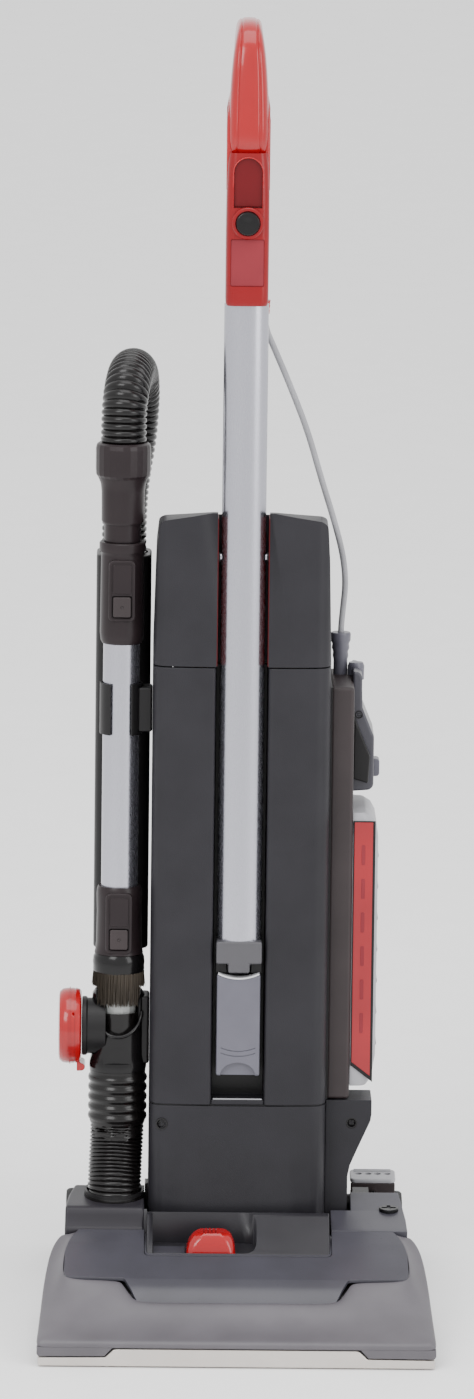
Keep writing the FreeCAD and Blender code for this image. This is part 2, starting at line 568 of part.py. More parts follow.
def make_belt():
    """Flat belt round both pulleys, drawn along the line between their axes."""
    run = V(0, dim("brush_front") - dim("motor_front"), dim("motor_rise") - dim("brush_rise"))
    span = run.Length
    along = run.normalize()
    across = V(1, 0, 0)
    width = dim("pulley_end") - dim("pulley_start") - 1
    start = V(dim("pulley_start") + 0.5, -dim("brush_front"), dim("brush_rise"))

    def racetrack(radius):
        side = along.cross(across) * radius
        ends = [start + along * step for step in (0, span)]
        face = Part.Face(Part.Wire([
            Part.LineSegment(ends[0] + side, ends[1] + side).toShape(),
            Part.Arc(ends[1] + side, ends[1] + along * radius, ends[1] - side).toShape(),
            Part.LineSegment(ends[1] - side, ends[0] - side).toShape(),
            Part.Arc(ends[0] - side, ends[0] - along * radius, ends[0] + side).toShape()]))
        return face.extrude(across * width)

    inner = dim("pulley_radius") + dim("gap")
    belt = racetrack(inner + dim("belt_thick")).cut(racetrack(inner))
    belt.translate(TO_ROW.Base)
    return plain_part("drive_belt", belt)


# ---------------------------------------------------------------- wheels, rollers, knob, pedal
def make_wheels():
    for side, sign in SIDES:
        tyre = rod(f"tyre_{side}", "x", ("axle_back", "wheel_radius"), "wheel_radius",
                   between(sign, "wheel_in", "wheel_out"))
        dish = rod(f"dish_{side}", "x", ("axle_back", "wheel_radius"), "wheel_dish",
                   between(sign, "wheel_out - 4", "wheel_out + 1"))
        bore = rod(f"wheel_bore_{side}", "x", ("axle_back", "wheel_radius"),
                   "axle_radius + running_fit", between(sign, "wheel_in - 1", "wheel_out + 1"))
        base_part(cut(f"rear_wheel_{side}", tyre, dish, bore))
        axis = ("-roller_front", "roller_rise")
        roll = rod(f"roll_{side}", "x", axis, "roller_radius", between(sign, "roller_in", "roller_out"))
        hole = rod(f"roll_bore_{side}", "x", axis, "roller_axle + running_fit",
                   between(sign, "roller_in - 1", "roller_out + 1"))
        base_part(cut(f"front_roller_{side}", roll, hole))


def make_carriage():
    """Rocking frame that carries both front rollers and sets the height of the nozzle."""
    bar = block("carriage_bar", ("-arm_out", "arm_out"),
                ("-carriage_front + gap", "-carriage_front + carriage_depth"),
                ("carriage_low", "carriage_top"))
    arms = [block(f"carriage_arm_{side}", between(sign, "arm_in", "arm_out"),
                  ("-carriage_front + gap", "-roller_front + 4"), ("carriage_low", "carriage_top"))
            for side, sign in SIDES]
    axle = rod("carriage_axle", "x", ("-roller_front", "roller_rise"), "roller_axle",
               ("-roller_out - 1.5", "roller_out + 1.5"))
    pivot = rod("carriage_trunnions", "x", ("-carriage_pivot", "carriage_rise"), "carriage_pin",
                ("-arm_out - 5", "arm_out + 5"))
    return base_part(fused("roller_carriage", bar, *arms, axle, pivot))


def make_knob():
    low = "console_floor + gap"
    outline = [("-knob_middle - knob_half", low), ("-knob_middle + knob_half", low),
               ("-knob_middle + knob_half", "knob_top - 5"),
               ("-knob_middle + knob_crest", "knob_top"), ("-knob_middle - knob_crest", "knob_top"),
               ("-knob_middle - knob_half", "knob_top - 5")]
    return base_part(padded("height_knob", "XZ", ("-knob_front", "-knob_back"), outline))


def make_pedal():
    """Foot pedal that releases the upright: a plate with four holes, a skirt and a hub."""
    skirt_front = "pedal_pivot + 8"
    plate = block("pedal_plate", ("pedal_left", "pedal_right"), (skirt_front, "pedal_back"),
                  ("pedal_low", "pedal_top"))
    skirt = block("pedal_skirt", ("pedal_left", "pedal_right"), (skirt_front, f"{skirt_front} + 4"),
                  ("pedal_rise - 3", "pedal_low + 1"))
    neck = block("pedal_neck", ("hub_left", "hub_right"), ("pedal_pivot", f"{skirt_front} + 1"),
                 ("pedal_rise - 3", "pedal_rise + 3"))
    hub = rod("pedal_hub_round", "x", ("pedal_pivot", "pedal_rise"), "pedal_hub",
              ("hub_left", "hub_right"))
    bore = rod("pedal_bore", "x", ("pedal_pivot", "pedal_rise"), "pedal_pin + running_fit",
               ("hub_left - 1", "hub_right + 1"))
    holes = [rod(f"pedal_hole_{i}", "z", (f"pedal_left + {8 + 8.5 * i}", "pedal_back - 14"),
                 "pedal_hole", ("70", "95")) for i in range(4)]
    return base_part(cut("release_pedal", fused("pedal_whole", plate, skirt, neck, hub), bore, *holes))


# ---------------------------------------------------------------- upright: shells
def make_rear_shell():
    """Back tub with the deck over the motor, the door opening, hinge ears and lower cord hook."""
    outer = slab("tub_outer", "YZ", ("-body_half", "body_half"),
                 [("-split", "skirt_low"), ("40", "skirt_low"), ("59", "skirt_low + 11"),
                  ("76", "9"), ("back", "76"), ("back", "seam_high - gap"),
                  ("-split", "seam_high - gap")])
    inner = slab("tub_inner", "YZ", ("-body_half + wall", "body_half - wall"),
                 [("-split - 1", "skirt_low + wall"), ("38", "skirt_low + wall"),
                  ("56", "skirt_low + 13"), ("73", "10"), ("back - wall", "77"),
                  ("back - wall", "600"), ("-split - 1", "600")])
    deck = block("motor_deck", ("-body_half + 1", "body_half - 1"), ("-split", "back - 1"),
                 ("deck_low", "deck_low + 4"))
    inlet = rod("deck_inlet_bore", "z", ("0", "fan_back"), "deck_inlet", ("deck_low - 1", "deck_low + 5"))
    opening = block("door_opening", ("-door_half", "door_half"), ("back - wall - 1", "back + 10"),
                    ("door_low - 0.5", "door_top + 0.5"))
    ears = []
    for side, sign in SIDES:
        tab = block(f"door_ear_{side}", between(sign, "door_half - 19", "door_half - 8"),
                    ("back - 1", "door_pivot + 3"), ("door_low - 12", "door_low - 2"))
        horn = block(f"door_horn_{side}", between(sign, "door_half - 19", "door_half - 8"),
                     ("door_pivot - 2.5", "door_pivot + 3"), ("door_low - 3", "door_low + 4"))
        ears += [tab, horn]
    pin = rod("door_rod", "x", ("door_pivot", "door_low"), "door_pin",
              ("-door_half + 8", "door_half - 8"))
    post = rod("low_hook_post", "y", ("0", "hook_low"), "hook_post", ("back - 1", "hook_back + 1"))
    blade = block("low_hook_blade", ("-hook_half", "hook_half"), ("hook_back", "hook_tip"),
                  ("hook_low - hook_reach", "hook_low + hook_post"))
    trunnion = rod("left_trunnion", "x", ("0", "0"), "trunnion_radius",
                   ("-block_left + 1", "-body_half + 1"))
    hollow = cut("tub_hollow", outer, inner)
    with_deck = fused("tub_decked", hollow, deck)
    opened = cut("tub_opened", with_deck, opening, inlet)
    return upright_part(fused("rear_shell", opened, *ears, pin, post, blade, trunnion))


def make_motor_cover():
    """Lower front cover; its toe is round so that it clears the base as the body leans."""
    outer = slab("cover_outer", "YZ", ("-body_half", "body_half"),
                 [("-split - gap", "skirt_low"), ("-split - gap", "seam_low - gap"),
                  ("-face", "seam_low - gap"), ("-face", "0"), ("-68", "-30"), ("-53", "skirt_low")])
    inner = slab("cover_inner", "YZ", ("-body_half + wall", "body_half - wall"),
                 [("-split + 1", "skirt_low + wall"), ("-split + 1", "seam_low + 1"),
                  ("-face + wall", "seam_low + 1"), ("-face + wall", "1"),
                  ("-65.5", "-28"), ("-51.5", "skirt_low + wall")])
    hole = rod("cover_screw", "y", ("-screw_left", "screw_height"), "screw_radius",
               ("-face - 1", "-face + 2"))
    return upright_part(cut("motor_cover", outer, inner, hole))


def channel_wall():
    """Thin wall of the front, with the channel for the handle tube, as one closed outline."""
    outer = [("-body_half", "-split - gap"), ("-body_half", "-cheek"), ("-cheek_half", "-face + 3"),
             ("-channel_half - 1", "-face"), ("-channel_half", "-channel_floor"),
             ("channel_half", "-channel_floor"), ("channel_half + 1", "-face"),
             ("cheek_half", "-face + 3"), ("body_half", "-cheek"), ("body_half", "-split - gap")]
    inner = [("body_half - wall", "-split - gap"), ("body_half - wall", "-cheek + 1"),
             ("cheek_half - 1", "-face + 6"), ("channel_half + 4", "-face + 3"),
             ("channel_half + 3", "-channel_floor + wall"), ("-channel_half - 3", "-channel_floor + wall"),
             ("-channel_half - 4", "-face + 3"), ("-cheek_half + 1", "-face + 6"),
             ("-body_half + wall", "-cheek + 1"), ("-body_half + wall", "-split - gap")]
    return outer + inner


def make_front_panel():
    wall = slab("panel_wall", "XY", ("seam_low", "seam_high - gap"), channel_wall())
    stop = block("channel_stop", ("-channel_half - 1", "channel_half + 1"),
                 ("-face", "-channel_floor + 1"), ("seam_low", "channel_low"))
    return upright_part(fused("front_panel", wall, stop))


def crown_wedge(name, lower):
    """What the crown's backward slope takes off, a stated depth below the peak."""
    return slab(name, "YZ", ("-body_half - 1", "body_half + 1"),
                [("-face", f"crown_peak - {lower}"), ("back + 1", f"crown_peak - crown_drop - {lower}"),
                 ("back + 1", "crown_peak + 2"), ("-face", "crown_peak + 2")])


def make_top_cap():
    """Crown of the body: shoulders and top slope down, with the notch for the tube in front."""
    outer = slab("crown_outer", "XZ", ("-face", "back"),
                 [("-body_half", "seam_high"), ("body_half", "seam_high"),
                  ("crown_half", "crown_edge"), ("crown_half - 4", "crown_corner"),
                  ("channel_half", "crown_peak"), ("-channel_half", "crown_peak"),
                  ("-crown_half + 4", "crown_corner"), ("-crown_half", "crown_edge")])
    inner = slab("crown_inner", "XZ", ("-face + wall", "back - wall"),
                 [("-body_half + wall", "seam_high - 1"), ("body_half - wall", "seam_high - 1"),
                  ("crown_half - wall", "crown_edge - 2"), ("channel_half", "crown_peak - 4"),
                  ("-channel_half", "crown_peak - 4"), ("-crown_half + wall", "crown_edge - 2")])
    keep = block("notch_keep", ("-channel_half - wall", "channel_half + wall"),
                 ("-face", "-channel_floor + wall"), ("seam_high - 2", "crown_peak + 1"))
    notch = block("notch", ("-channel_half", "channel_half"), ("-face - 1", "-channel_floor"),
                  ("seam_high - 1", "crown_peak + 1"))
    cavity = cut("crown_cavity", inner, keep, crown_wedge("wedge_inner", "4"))
    corners = []
    for side, sign in SIDES:
        outline = [(f"{sign}(body_half + 1)", "-face - 1"), (f"{sign}(body_half + 1)", "-cheek"),
                   (f"{sign}body_half", "-cheek"), (f"{sign}cheek_half", "-face + 3"),
                   (f"{sign}(channel_half + 1)", "-face"), (f"{sign}(channel_half + 1)", "-face - 1")]
        corners.append(slab(f"crown_corner_{side}", "XY", ("seam_high - 1", "crown_peak + 1"), outline))
    hook_hole = rod("hook_hole", "y", ("0", "hook_height"), "3 + running_fit", ("back - wall - 1", "back + 1"))
    return upright_part(cut("top_cap", outer, crown_wedge("wedge_outer", "0"), cavity, notch, hook_hole,
                            *corners))


def make_shells():
    make_rear_shell()
    make_motor_cover()
    make_front_panel()
    make_top_cap()


# ---------------------------------------------------------------- upright: inside
def make_inside():
    """Suction motor under its fan, the paper bag and the pleated exhaust filter."""
    stator = rod("stator", "z", ("0", "0"), "stator_radius", ("stator_low", "fan_low"))
    fan = rod("fan", "z", ("0", "fan_back"), "fan_radius", ("fan_low - 1", "fan_high"))
    neck = rod("fan_neck_tube", "z", ("0", "fan_back"), "fan_neck", ("fan_high - 1", "deck_low + 5"))
    upright_part(fused("suction_motor", stator, fan, neck))
    bag = padded("dust_bag", "XY", ("bag_low", "bag_high"),
                 rect("-bag_half", "bag_half", "-bag_front", "bag_back"))
    rounded(bag, "12", lambda middle, tangent: abs(tangent.z) > 0.9)
    upright_part(bag)
    upright_part(padded("hepa_filter", "YZ", ("side_in + wall + gap", "side_out - 1"),
                        rect("-side_front + 4", "side_back - 4", "filter_low + 1", "filter_high - 1")))


# ---------------------------------------------------------------- upright: side housing and cover
def make_side_housing():
    """Right-hand housing of the exhaust filter, with the pod above and the foot below it."""
    case = block("side_case", ("side_in", "side_out"), ("-side_front", "side_back"),
                 ("seam_low", "side_high"))
    cavity = block("side_cavity", ("side_in + wall", "side_out + 1"),
                   ("-side_front + wall", "side_back - wall"), ("filter_low", "filter_high"))
    foot = slab("side_foot", "XZ", ("-side_front", "side_front"),
                rect("side_in", "side_out - 0.5", "corner_low", "seam_low + 1"))
    flare = slab("side_flare", "XZ", ("-side_front", "0"),
                 [("side_out - 1", "flare_low"), ("corner_flare", "flare_high"),
                  ("corner_flare", "seam_low"), ("side_out - 1", "seam_low")])
    toe = slab("foot_toe", "YZ", ("side_in - 1", "side_out + 1"),
               [("-side_front - 1", "corner_low - 1"), ("-side_front - 1", "10"), ("-30", "corner_low - 1")])
    trunnion = rod("right_trunnion", "x", ("0", "0"), "trunnion_radius",
                   ("side_out - 2", "block_right - 1"))
    pod = slab("side_pod", "XZ", ("pod_front", "pod_back"),
               [("side_out - 1", "pod_low"), ("pod_wide", "pod_low"), ("pod_wide", "pod_shoulder"),
                ("pod_neck", "pod_shoulder + 24"), ("pod_neck", "side_high + 8"),
                ("side_out - 1", "side_high + 8")])
    ears = [block(f"cover_ear_{i}", ("side_out - 6", "cover_pivot_out + 2.2"),
                  ("side_back - 1", "cover_pivot_back + 3"), (low, f"{low} + 6"))
            for i, low in enumerate(("130", "334"))]
    pin = rod("cover_rod", "z", ("cover_pivot_out", "cover_pivot_back"), "cover_pin", ("130", "340"))
    screw = rod("side_screw", "y", ("screw_right", "screw_height - 4"), "screw_radius",
                ("-side_front - 1", "-side_front + 2"))
    hollow = cut("side_hollow", fused("side_solid", case, foot, pod, flare), cavity, toe, screw)
    return upright_part(fused("side_housing", hollow, trunnion, *ears, pin))


def make_filter_cover():
    """Door over the exhaust filter, hinged along its rear edge."""
    outer = slab("lid_outer", "XY", ("cover_low", "cover_high"),
                 [("side_out + gap", "-cover_front"), ("cover_out - 12", "-cover_front"),
                  ("cover_out - 3", "-cover_front + 6"), ("cover_out", "-cover_front + 18"),
                  ("cover_out", "cover_back - 8"), ("cover_out - 6", "cover_back"),
                  ("side_out + gap", "cover_back")])
    hollow = block("lid_hollow", ("side_out", "cover_out - wall"),
                   ("-cover_front + 9", "cover_back - wall"), ("cover_low + wall", "cover_high - wall"))
    barrel = rod("lid_barrel", "z", ("cover_pivot_out", "cover_pivot_back"), "cover_barrel",
                 ("140", "330"))
    web = block("lid_web", ("cover_pivot_out - 2", "cover_pivot_out + 2"),
                ("cover_back - 1", "cover_pivot_back"), ("140", "330"))
    bore = rod("lid_bore", "z", ("cover_pivot_out", "cover_pivot_back"),
               "cover_pin + running_fit", ("139", "331"))
    foot = slab("lid_foot", "XZ", ("-cover_front - 1", "cover_back + 1"),
                [("cover_out - 14", "cover_low - 1"), ("cover_out + 1", "cover_low - 1"),
                 ("cover_out + 1", "cover_low + 22")])
    brow = slab("lid_brow", "XZ", ("-cover_front - 1", "cover_back + 1"),
                [("cover_out - 10", "cover_high + 1"), ("cover_out + 1", "cover_high + 1"),
                 ("cover_out + 1", "cover_high - 11")])
    shell = cut("lid_shell", outer, hollow, foot, brow)
    return upright_part(cut("filter_cover", fused("lid_whole", shell, barrel, web), bore))


def make_filter_latch():
    """Thumb slide on the pod that locks the filter cover."""
    return upright_part(padded("filter_latch", "XZ", ("20", "36"),
                               [("pod_wide + gap", "bump_low"), ("bump_out - 2", "bump_low"),
                                ("bump_out", "bump_low + 4"), ("bump_out", "bump_high - 4"),
                                ("bump_out - 2", "bump_high"), ("pod_wide + gap", "bump_high")]))


def make_bag_door():
    panel = block("door_panel", ("-door_half + 0.5", "door_half - 0.5"), ("back - wall", "door_out"),
                  ("door_low", "door_top"))
    barrel = rod("door_barrel_round", "x", ("door_pivot", "door_low"), "door_barrel",
                 ("-door_half + 20", "door_half - 20"))
    slots = [block(f"door_slot_{side}", between(sign, "door_half - 20", "door_half - 7"),
                   ("back - 4", "door_out + 1"), ("door_low - 1", "door_low + 6"))
             for side, sign in SIDES]
    bore = rod("door_bore", "x", ("door_pivot", "door_low"), "door_pin + running_fit",
               ("-door_half", "door_half"))
    upright_part(cut("bag_door", fused("door_whole", panel, barrel), bore, *slots))
    upright_part(padded("bag_latch", "YZ", ("-14", "14"),
                        [("door_out + gap", "door_top - 22"), ("door_out + 4", "door_top - 20"),
                         ("door_out + 5", "door_top - 6"), ("door_out + gap", "door_top - 4")]))


# ---------------------------------------------------------------- upright: handle
def oval(name, wide, deep, low, high):
    """An upright elliptical bar round the handle's axis."""
    ring = doc.addObject("Part::Ellipse", name + "_ring")
    ring.setExpression("MajorRadius", bound(wide))
    ring.setExpression("MinorRadius", bound(deep))
    ring.setExpression("Placement.Base.y", bound("-tube_front"))
    ring.setExpression("Placement.Base.z", bound(low))
    bar = doc.addObject("Part::Extrusion", name)
    bar.Base = ring
    bar.DirMode = "Custom"
    bar.Dir = V(0, 0, 1)
    bar.Solid = True
    bar.setExpression("LengthFwd", bound(f"({high}) - ({low})"))
    return bar


def make_handle_tube():
    outer = oval("tube_outer", "tube_half_wide", "tube_half_deep", "tube_low", "tube_top")
    inner = oval("tube_inner", "tube_half_wide - 1.5", "tube_half_deep - 1.5", "tube_low - 1",
                 "tube_top + 1")
    hole = rod("tube_pin_hole", "x", ("-tube_front", "pin_height"), "pin_radius + 0.05", ("-30", "30"))
    upright_part(cut("handle_tube", outer, inner, hole))
    pin = padded("cross_pin", "YZ", ("-channel_half + 0.2", "channel_half - 0.2"),
                 ("-tube_front", "pin_height", "pin_radius"))
    upright_part(pin)
    socket = block("collar_block", ("-collar_half", "collar_half"),
                   ("-tube_front - tube_half_deep - 1", "-channel_floor - gap"),
                   ("collar_low", "tube_low"))
    tab = block("collar_tab", ("-tab_half", "tab_half"),
                ("-tube_front - tube_half_deep - 1", "-channel_floor - gap"),
                ("tab_low", "collar_low + 1"))
    upright_part(fused("tube_collar", socket, tab))
    latch = padded("tube_latch", "XZ", ("-latch_front", "-channel_floor - 1"),
                   rect("-latch_half", "latch_half", "latch_low", "latch_top"))
    rounded(latch, "2", lambda middle, tangent: abs(tangent.y) > 0.9)
    upright_part(latch)


def make_handle_grip():
    """Switch housing on the tube and the closed loop grip above it."""
    face = block("housing_body", ("-housing_half", "housing_half"),
                 ("-housing_front", "-housing_back"), ("tube_top", "housing_top"))
    boss = rod("switch_boss", "y", ("0", "switch_height"), "boss_radius",
               ("-boss_front", "-housing_front + 1"))
    well = rod("switch_well", "y", ("0", "switch_height"), "button_radius + 0.3",
               ("-boss_front - 1", "-housing_front + 8"))
    inlet = rod("inlet_gland", "y", ("0", "inlet_height"), "inlet_radius + 2",
                ("-housing_back + 0.05", "-housing_back + 12"), "inlet_radius - 1")
    bore = rod("inlet_bore", "y", ("0", "inlet_height"), "4", ("-housing_back - 1", "-housing_back + 13"))
    upright_part(cut("cord_inlet", inlet, bore))
    relief = rod("lead_relief", "z", ("16", "-43"), "4", ("tube_top - 11", "tube_top + 1"), "5")
    upright_part(cut("switch_housing", fused("housing_whole", face, boss, relief), well))
    grip = padded("handle_grip", "YZ", ("-grip_half", "grip_half"),
                  [("-housing_front + 2", "housing_top"), ("-housing_front + 2", "grip_top - 22"),
                   ("-housing_front + 22", "grip_top"), ("grip_back - 20", "grip_top"),
                   ("grip_back", "grip_top - 18"), ("grip_back", "housing_top + 24"),
                   ("-housing_back + 8", "housing_top")],
                  [("-housing_front + 29", "housing_top + 22"), ("-housing_front + 29", "grip_top - 34"),
                   ("-housing_front + 37", "grip_top - 27"), ("grip_back - 34", "grip_top - 27"),
                   ("grip_back - 26", "grip_top - 35"), ("grip_back - 26", "housing_top + 34"),
                   ("-housing_back + 2", "housing_top + 18")])
    rounded(grip, "5", lambda middle, tangent: abs(abs(middle.x) - dim("grip_half")) < 0.1
            and middle.z > dim("housing_top") + 1)
    upright_part(grip)
    upright_part(padded("switch_button", "XZ", ("-button_front", "-housing_front + 0.5"),
                        ("0", "switch_height", "button_radius")))


def make_hook():
    """Upper cord hook, which turns half way round to drop the wound cord."""
    post = rod("hook_post_round", "y", ("0", "hook_height"), "hook_post",
               ("back + gap", "hook_back + 1"))
    stem = rod("hook_stem", "y", ("0", "hook_height"), "3", ("back - wall", "back + 2"))
    blade = block("hook_blade", ("-hook_half", "hook_half"), ("hook_back", "hook_tip"),
                  ("hook_height - hook_post", "hook_height + hook_reach"))
    return upright_part(fused("cord_hook", post, stem, blade))


# ---------------------------------------------------------------- left side: elbow, guide, clip
WAND_AXIS = ("-wand_left", "-wand_front")


def ring(name, outer, inner, low, high, axis=WAND_AXIS):
    return padded(name, "XY", (low, high), (*axis, outer), (*axis, inner))


def make_elbow():
    """Open-fronted socket of the wand with the clean-out port on its left."""
    body = rod("elbow_body", "z", WAND_AXIS, "elbow_radius", ("elbow_low", "elbow_high"))
    port = rod("port_neck", "x", ("-wand_front", "port_height"), "port_radius",
               ("-port_out", "-wand_left - 8"))
    mount = block("elbow_mount", ("-wand_left + 12", "-body_half - 0.2"),
                  ("-wand_front - 10", "-wand_front + 22"), ("elbow_low + 6", "elbow_high - 6"))
    lug = block("port_lug", ("-port_out", "-wand_left - 18"), ("-wand_front - 7", "-wand_front + 7"),
                ("cap_pivot - 3", "port_height - 20"))
    bore = rod("elbow_bore_round", "z", WAND_AXIS, "elbow_bore", ("elbow_low - 1", "elbow_high + 1"))
    port_bore = rod("port_bore_round", "x", ("-wand_front", "port_height"), "port_bore",
                    ("-port_out - 1", "-wand_left"))
    scoop = block("elbow_scoop", ("-wand_left - 19", "-wand_left + 19"),
                  ("-wand_front - 30", "-wand_front - scoop_back"), ("scoop_low", "elbow_high + 1"))
    pin = rod("cap_rod", "y", ("-port_out", "cap_pivot"), "cap_pin",
              ("-wand_front - knuckle_far", "-wand_front + knuckle_far"))
    return upright_part(cut("elbow", fused("elbow_whole", body, port, mount, lug, pin), bore, port_bore,
                            scoop))


def make_ribbed_cuff():
    """Soft cuff under the elbow with grooves round it."""
    tube = rod("cuff_body", "z", WAND_AXIS, "ribbed_radius", ("ribbed_low", "elbow_low - 0.1"))
    bore = rod("cuff_bore", "z", WAND_AXIS, "hose_bore", ("ribbed_low - 1", "elbow_low + 1"))
    grooves = []
    for i in range(4):
        low = f"ribbed_low + 8 + {i} * rib_pitch"
        band = rod(f"rib_band_{i}", "z", WAND_AXIS, "ribbed_radius + 1", (low, f"{low} + 3"))
        waist = rod(f"rib_waist_{i}", "z", WAND_AXIS, "ribbed_radius - rib_deep",
                    (f"{low} - 1", f"{low} + 4"))
        grooves.append(cut(f"rib_groove_{i}", band, waist))
    return upright_part(cut("ribbed_cuff", tube, bore, *grooves))


def make_cleanout_cap():
    cap = rod("cap_disc", "x", ("-wand_front", "port_height"), "cap_radius",
              ("-cap_out", "-port_out - gap"))
    hollow = rod("cap_hollow", "x", ("-wand_front", "port_height"), "port_radius - 1",
                 ("-cap_out + 5", "-port_out"))
    knuckles, bores = [], []
    for side, (low, high) in zip(("front", "rear"), (("-wand_front - knuckle_far", "-wand_front - knuckle_near"),
                                                     ("-wand_front + knuckle_near", "-wand_front + knuckle_far"))):
        barrel = rod(f"cap_knuckle_{side}", "y", ("-port_out", "cap_pivot"), "cap_knuckle", (low, high))
        web = block(f"cap_web_{side}", ("-port_out - cap_knuckle", "-port_out - gap"), (low, high),
                    ("cap_pivot", "cap_pivot + 6"))
        knuckles += [barrel, web]
        bores.append(rod(f"cap_bore_{side}", "y", ("-port_out", "cap_pivot"), "cap_pin + running_fit",
                         (f"{low} - 1", f"{high} + 1")))
    return upright_part(cut("cleanout_cap", fused("cap_whole", cut("cap_shell", cap, hollow), *knuckles),
                            *bores))


def make_guide_and_clip():
    """Tall duct behind the wand that takes the hose's lower end, and the spring clip."""
    trunk = block("guide_trunk", ("-guide_left", "-guide_right"), ("guide_front", "guide_back"),
                  ("guide_low", "guide_high"))
    bore = rod("guide_bore_round", "z", ("-guide_axis", "guide_middle"), "guide_bore",
               ("guide_low + 12", "guide_high + 1"))
    upright_part(cut("hose_guide", trunk, bore))
    jaw = rod("clip_jaw", "z", WAND_AXIS, "clip_radius", ("clip_low", "clip_high"))
    foot = block("clip_foot", ("-wand_left + 10", "-body_half - 0.2"),
                 ("-wand_front - 12", "-wand_front + 12"), ("clip_low", "clip_high"))
    hole = rod("clip_hole", "z", WAND_AXIS, "clip_bore", ("clip_low - 1", "clip_high + 1"))
    mouth = block("clip_mouth", ("-wand_left - 30", "-wand_left + 9"),
                  ("-wand_front - 30", "-wand_front - 6"), ("clip_low - 1", "clip_high + 1"))
    upright_part(cut("wand_clip", fused("clip_whole", jaw, foot), hole, mouth))


# ---------------------------------------------------------------- wand
def make_wand():
    """Bright outer tube with its two latch collars and the dusting brush near its tip."""
    upright_part(ring("wand_tube", "wand_radius", "wand_bore", "wand_low", "wand_high"))
    for name, radius, low, high, thumb in (
            ("collar_lower", "lower_collar", "lower_collar_low", "lower_collar_high", "lower_thumb"),
            ("collar_upper", "upper_collar", "upper_collar_low", "upper_collar_high", "upper_thumb")):
        sleeve = rod(name + "_sleeve", "z", WAND_AXIS, radius, (low, high))
        bore = rod(name + "_bore", "z", WAND_AXIS, "wand_radius + 0.05", (f"{low} - 1", "wand_high"))
        passage = rod(name + "_passage", "z", WAND_AXIS, "inner_radius + 0.3",
                      (f"{low} - 1", f"{high} + 1"))
        boss = block(name + "_boss", ("-wand_left - thumb_half - 2", "-wand_left + thumb_half + 2"),
                     (f"-wand_front - {radius} - 1.5", "-wand_front"),
                     (f"{thumb} - 3", f"{thumb} + thumb_tall + 3"))
        seat_cut = block(name + "_seat", ("-wand_left - thumb_half - gap", "-wand_left + thumb_half + gap"),
                         (f"-wand_front - {radius} - 3", "-wand_front - wand_radius - 0.6"),
                         (f"{thumb} - gap", f"{thumb} + thumb_tall + gap"))
        upright_part(cut(name, fused(name + "_whole", sleeve, boss), bore, passage, seat_cut))
        button = "wand_button_" + name.split("_")[1]
        upright_part(padded(button, "YZ",
                            ("-wand_left - thumb_half", "-wand_left + thumb_half"),
                            rect(f"-wand_front - {radius} - thumb_out", "-wand_front - wand_radius - 2.9",
                                 thumb, f"{thumb} + thumb_tall")))
    body = rod("bristle_skirt", "z", WAND_AXIS, "brush_ring - 1.5", ("bristle_low", "ring_low + 1"))
    collar = rod("brush_collar", "z", WAND_AXIS, "brush_ring", ("ring_low", "lower_collar_low - 0.1"))
    hole = rod("brush_hole", "z", WAND_AXIS, "wand_radius + 0.05", ("bristle_low - 1", "lower_collar_low"))
    hollow = rod("brush_hollow", "z", WAND_AXIS, "brush_ring - 4", ("bristle_low - 1", "ring_low"))
    upright_part(cut("dusting_brush", fused("brush_whole", body, collar), hole, hollow))


def make_wand_handle():
    """Inner tube, grip neck and hose cuff, which telescope out of the outer tube."""
    parts = [rod("inner_tube", "z", WAND_AXIS, "inner_radius", ("inner_low", "neck_low")),
             rod("slim_neck", "z", WAND_AXIS, "wand_radius", ("upper_collar_high + gap", "neck_low")),
             rod("grip_neck", "z", WAND_AXIS, "neck_radius", ("neck_low", "neck_high")),
             rod("hose_cuff", "z", WAND_AXIS, "cuff_radius", ("neck_high", "cuff_high"))]
    bore = rod("handle_bore", "z", WAND_AXIS, "inner_bore", ("inner_low - 1", "cuff_high + 1"))
    return upright_part(cut("wand_handle", fused("wand_handle_whole", *parts), bore))


# ---------------------------------------------------------------- hoses and the switch lead
def tangent_path(points):
    """Straight runs joined by tangent arcs, each as large as its two runs allow."""
    edges, start, radii = [], points[0], []
    for before, corner, after in zip(points, points[1:], points[2:]):
        inward, outward = corner - before, after - corner
        turn = inward.getAngle(outward)
        reach = 0.45 * min(inward.Length, outward.Length)
        radii.append(reach / math.tan(turn / 2))
        first = corner - V(inward).normalize() * reach
        last = corner + V(outward).normalize() * reach
        to_middle = ((first + last) * 0.5 - corner)
        depth = math.hypot(radii[-1], reach) - radii[-1]
        middle = corner + to_middle.normalize() * depth
        edges.append(Part.LineSegment(start, first).toShape())
        edges.append(Part.Arc(first, middle, last).toShape())
        start = last
    edges.append(Part.LineSegment(start, points[-1]).toShape())
    return Part.Wire(edges), radii


def swept_tube(name, points, radius, bore=None):
    """A round tube along a route; prints its bend radii and checks its volume."""
    path, radii = tangent_path(points)
    heading = (points[1] - points[0]).normalize()

    def sweep(size):
        section = Part.Wire([Part.makeCircle(size, points[0], heading)])
        return path.makePipeShell([section], True, False)

    solid = sweep(radius)
    area = math.pi * radius ** 2
    if abs(solid.Volume / (area * path.Length) - 1) > 0.02:
        raise ValueError(name + " has the wrong volume")
    if bore:
        solid = solid.cut(sweep(bore))
    print(name, "length", round(path.Length, 1), "radii", [round(r) for r in radii])
    return plain_part(name, solid)


LEAD_ROUTE = [(16, -43, 797), (16, -43, 786), (25, -41, 766), (39, -33, 733), (55, -22, 692),
              (67, -9, 650), (79.5, 7, 610), (88, 19, 578), (91, 26.5, 552), (89, 29.5, 529),
              (87.3, 29.9, 511), (87.3, 30, 496)]
LOOP_ROUTE = [(-105, -38, 683), (-105, -38, 708), (-103, -30, 727), (-100, -7, 738), (-97, 22, 739),
              (-94, 49, 729), (-93.5, 62, 704), (-96, 63.5, 671), (-102, 63, 636), (-104, 62, 603),
              (-104, 62, 572.8)]


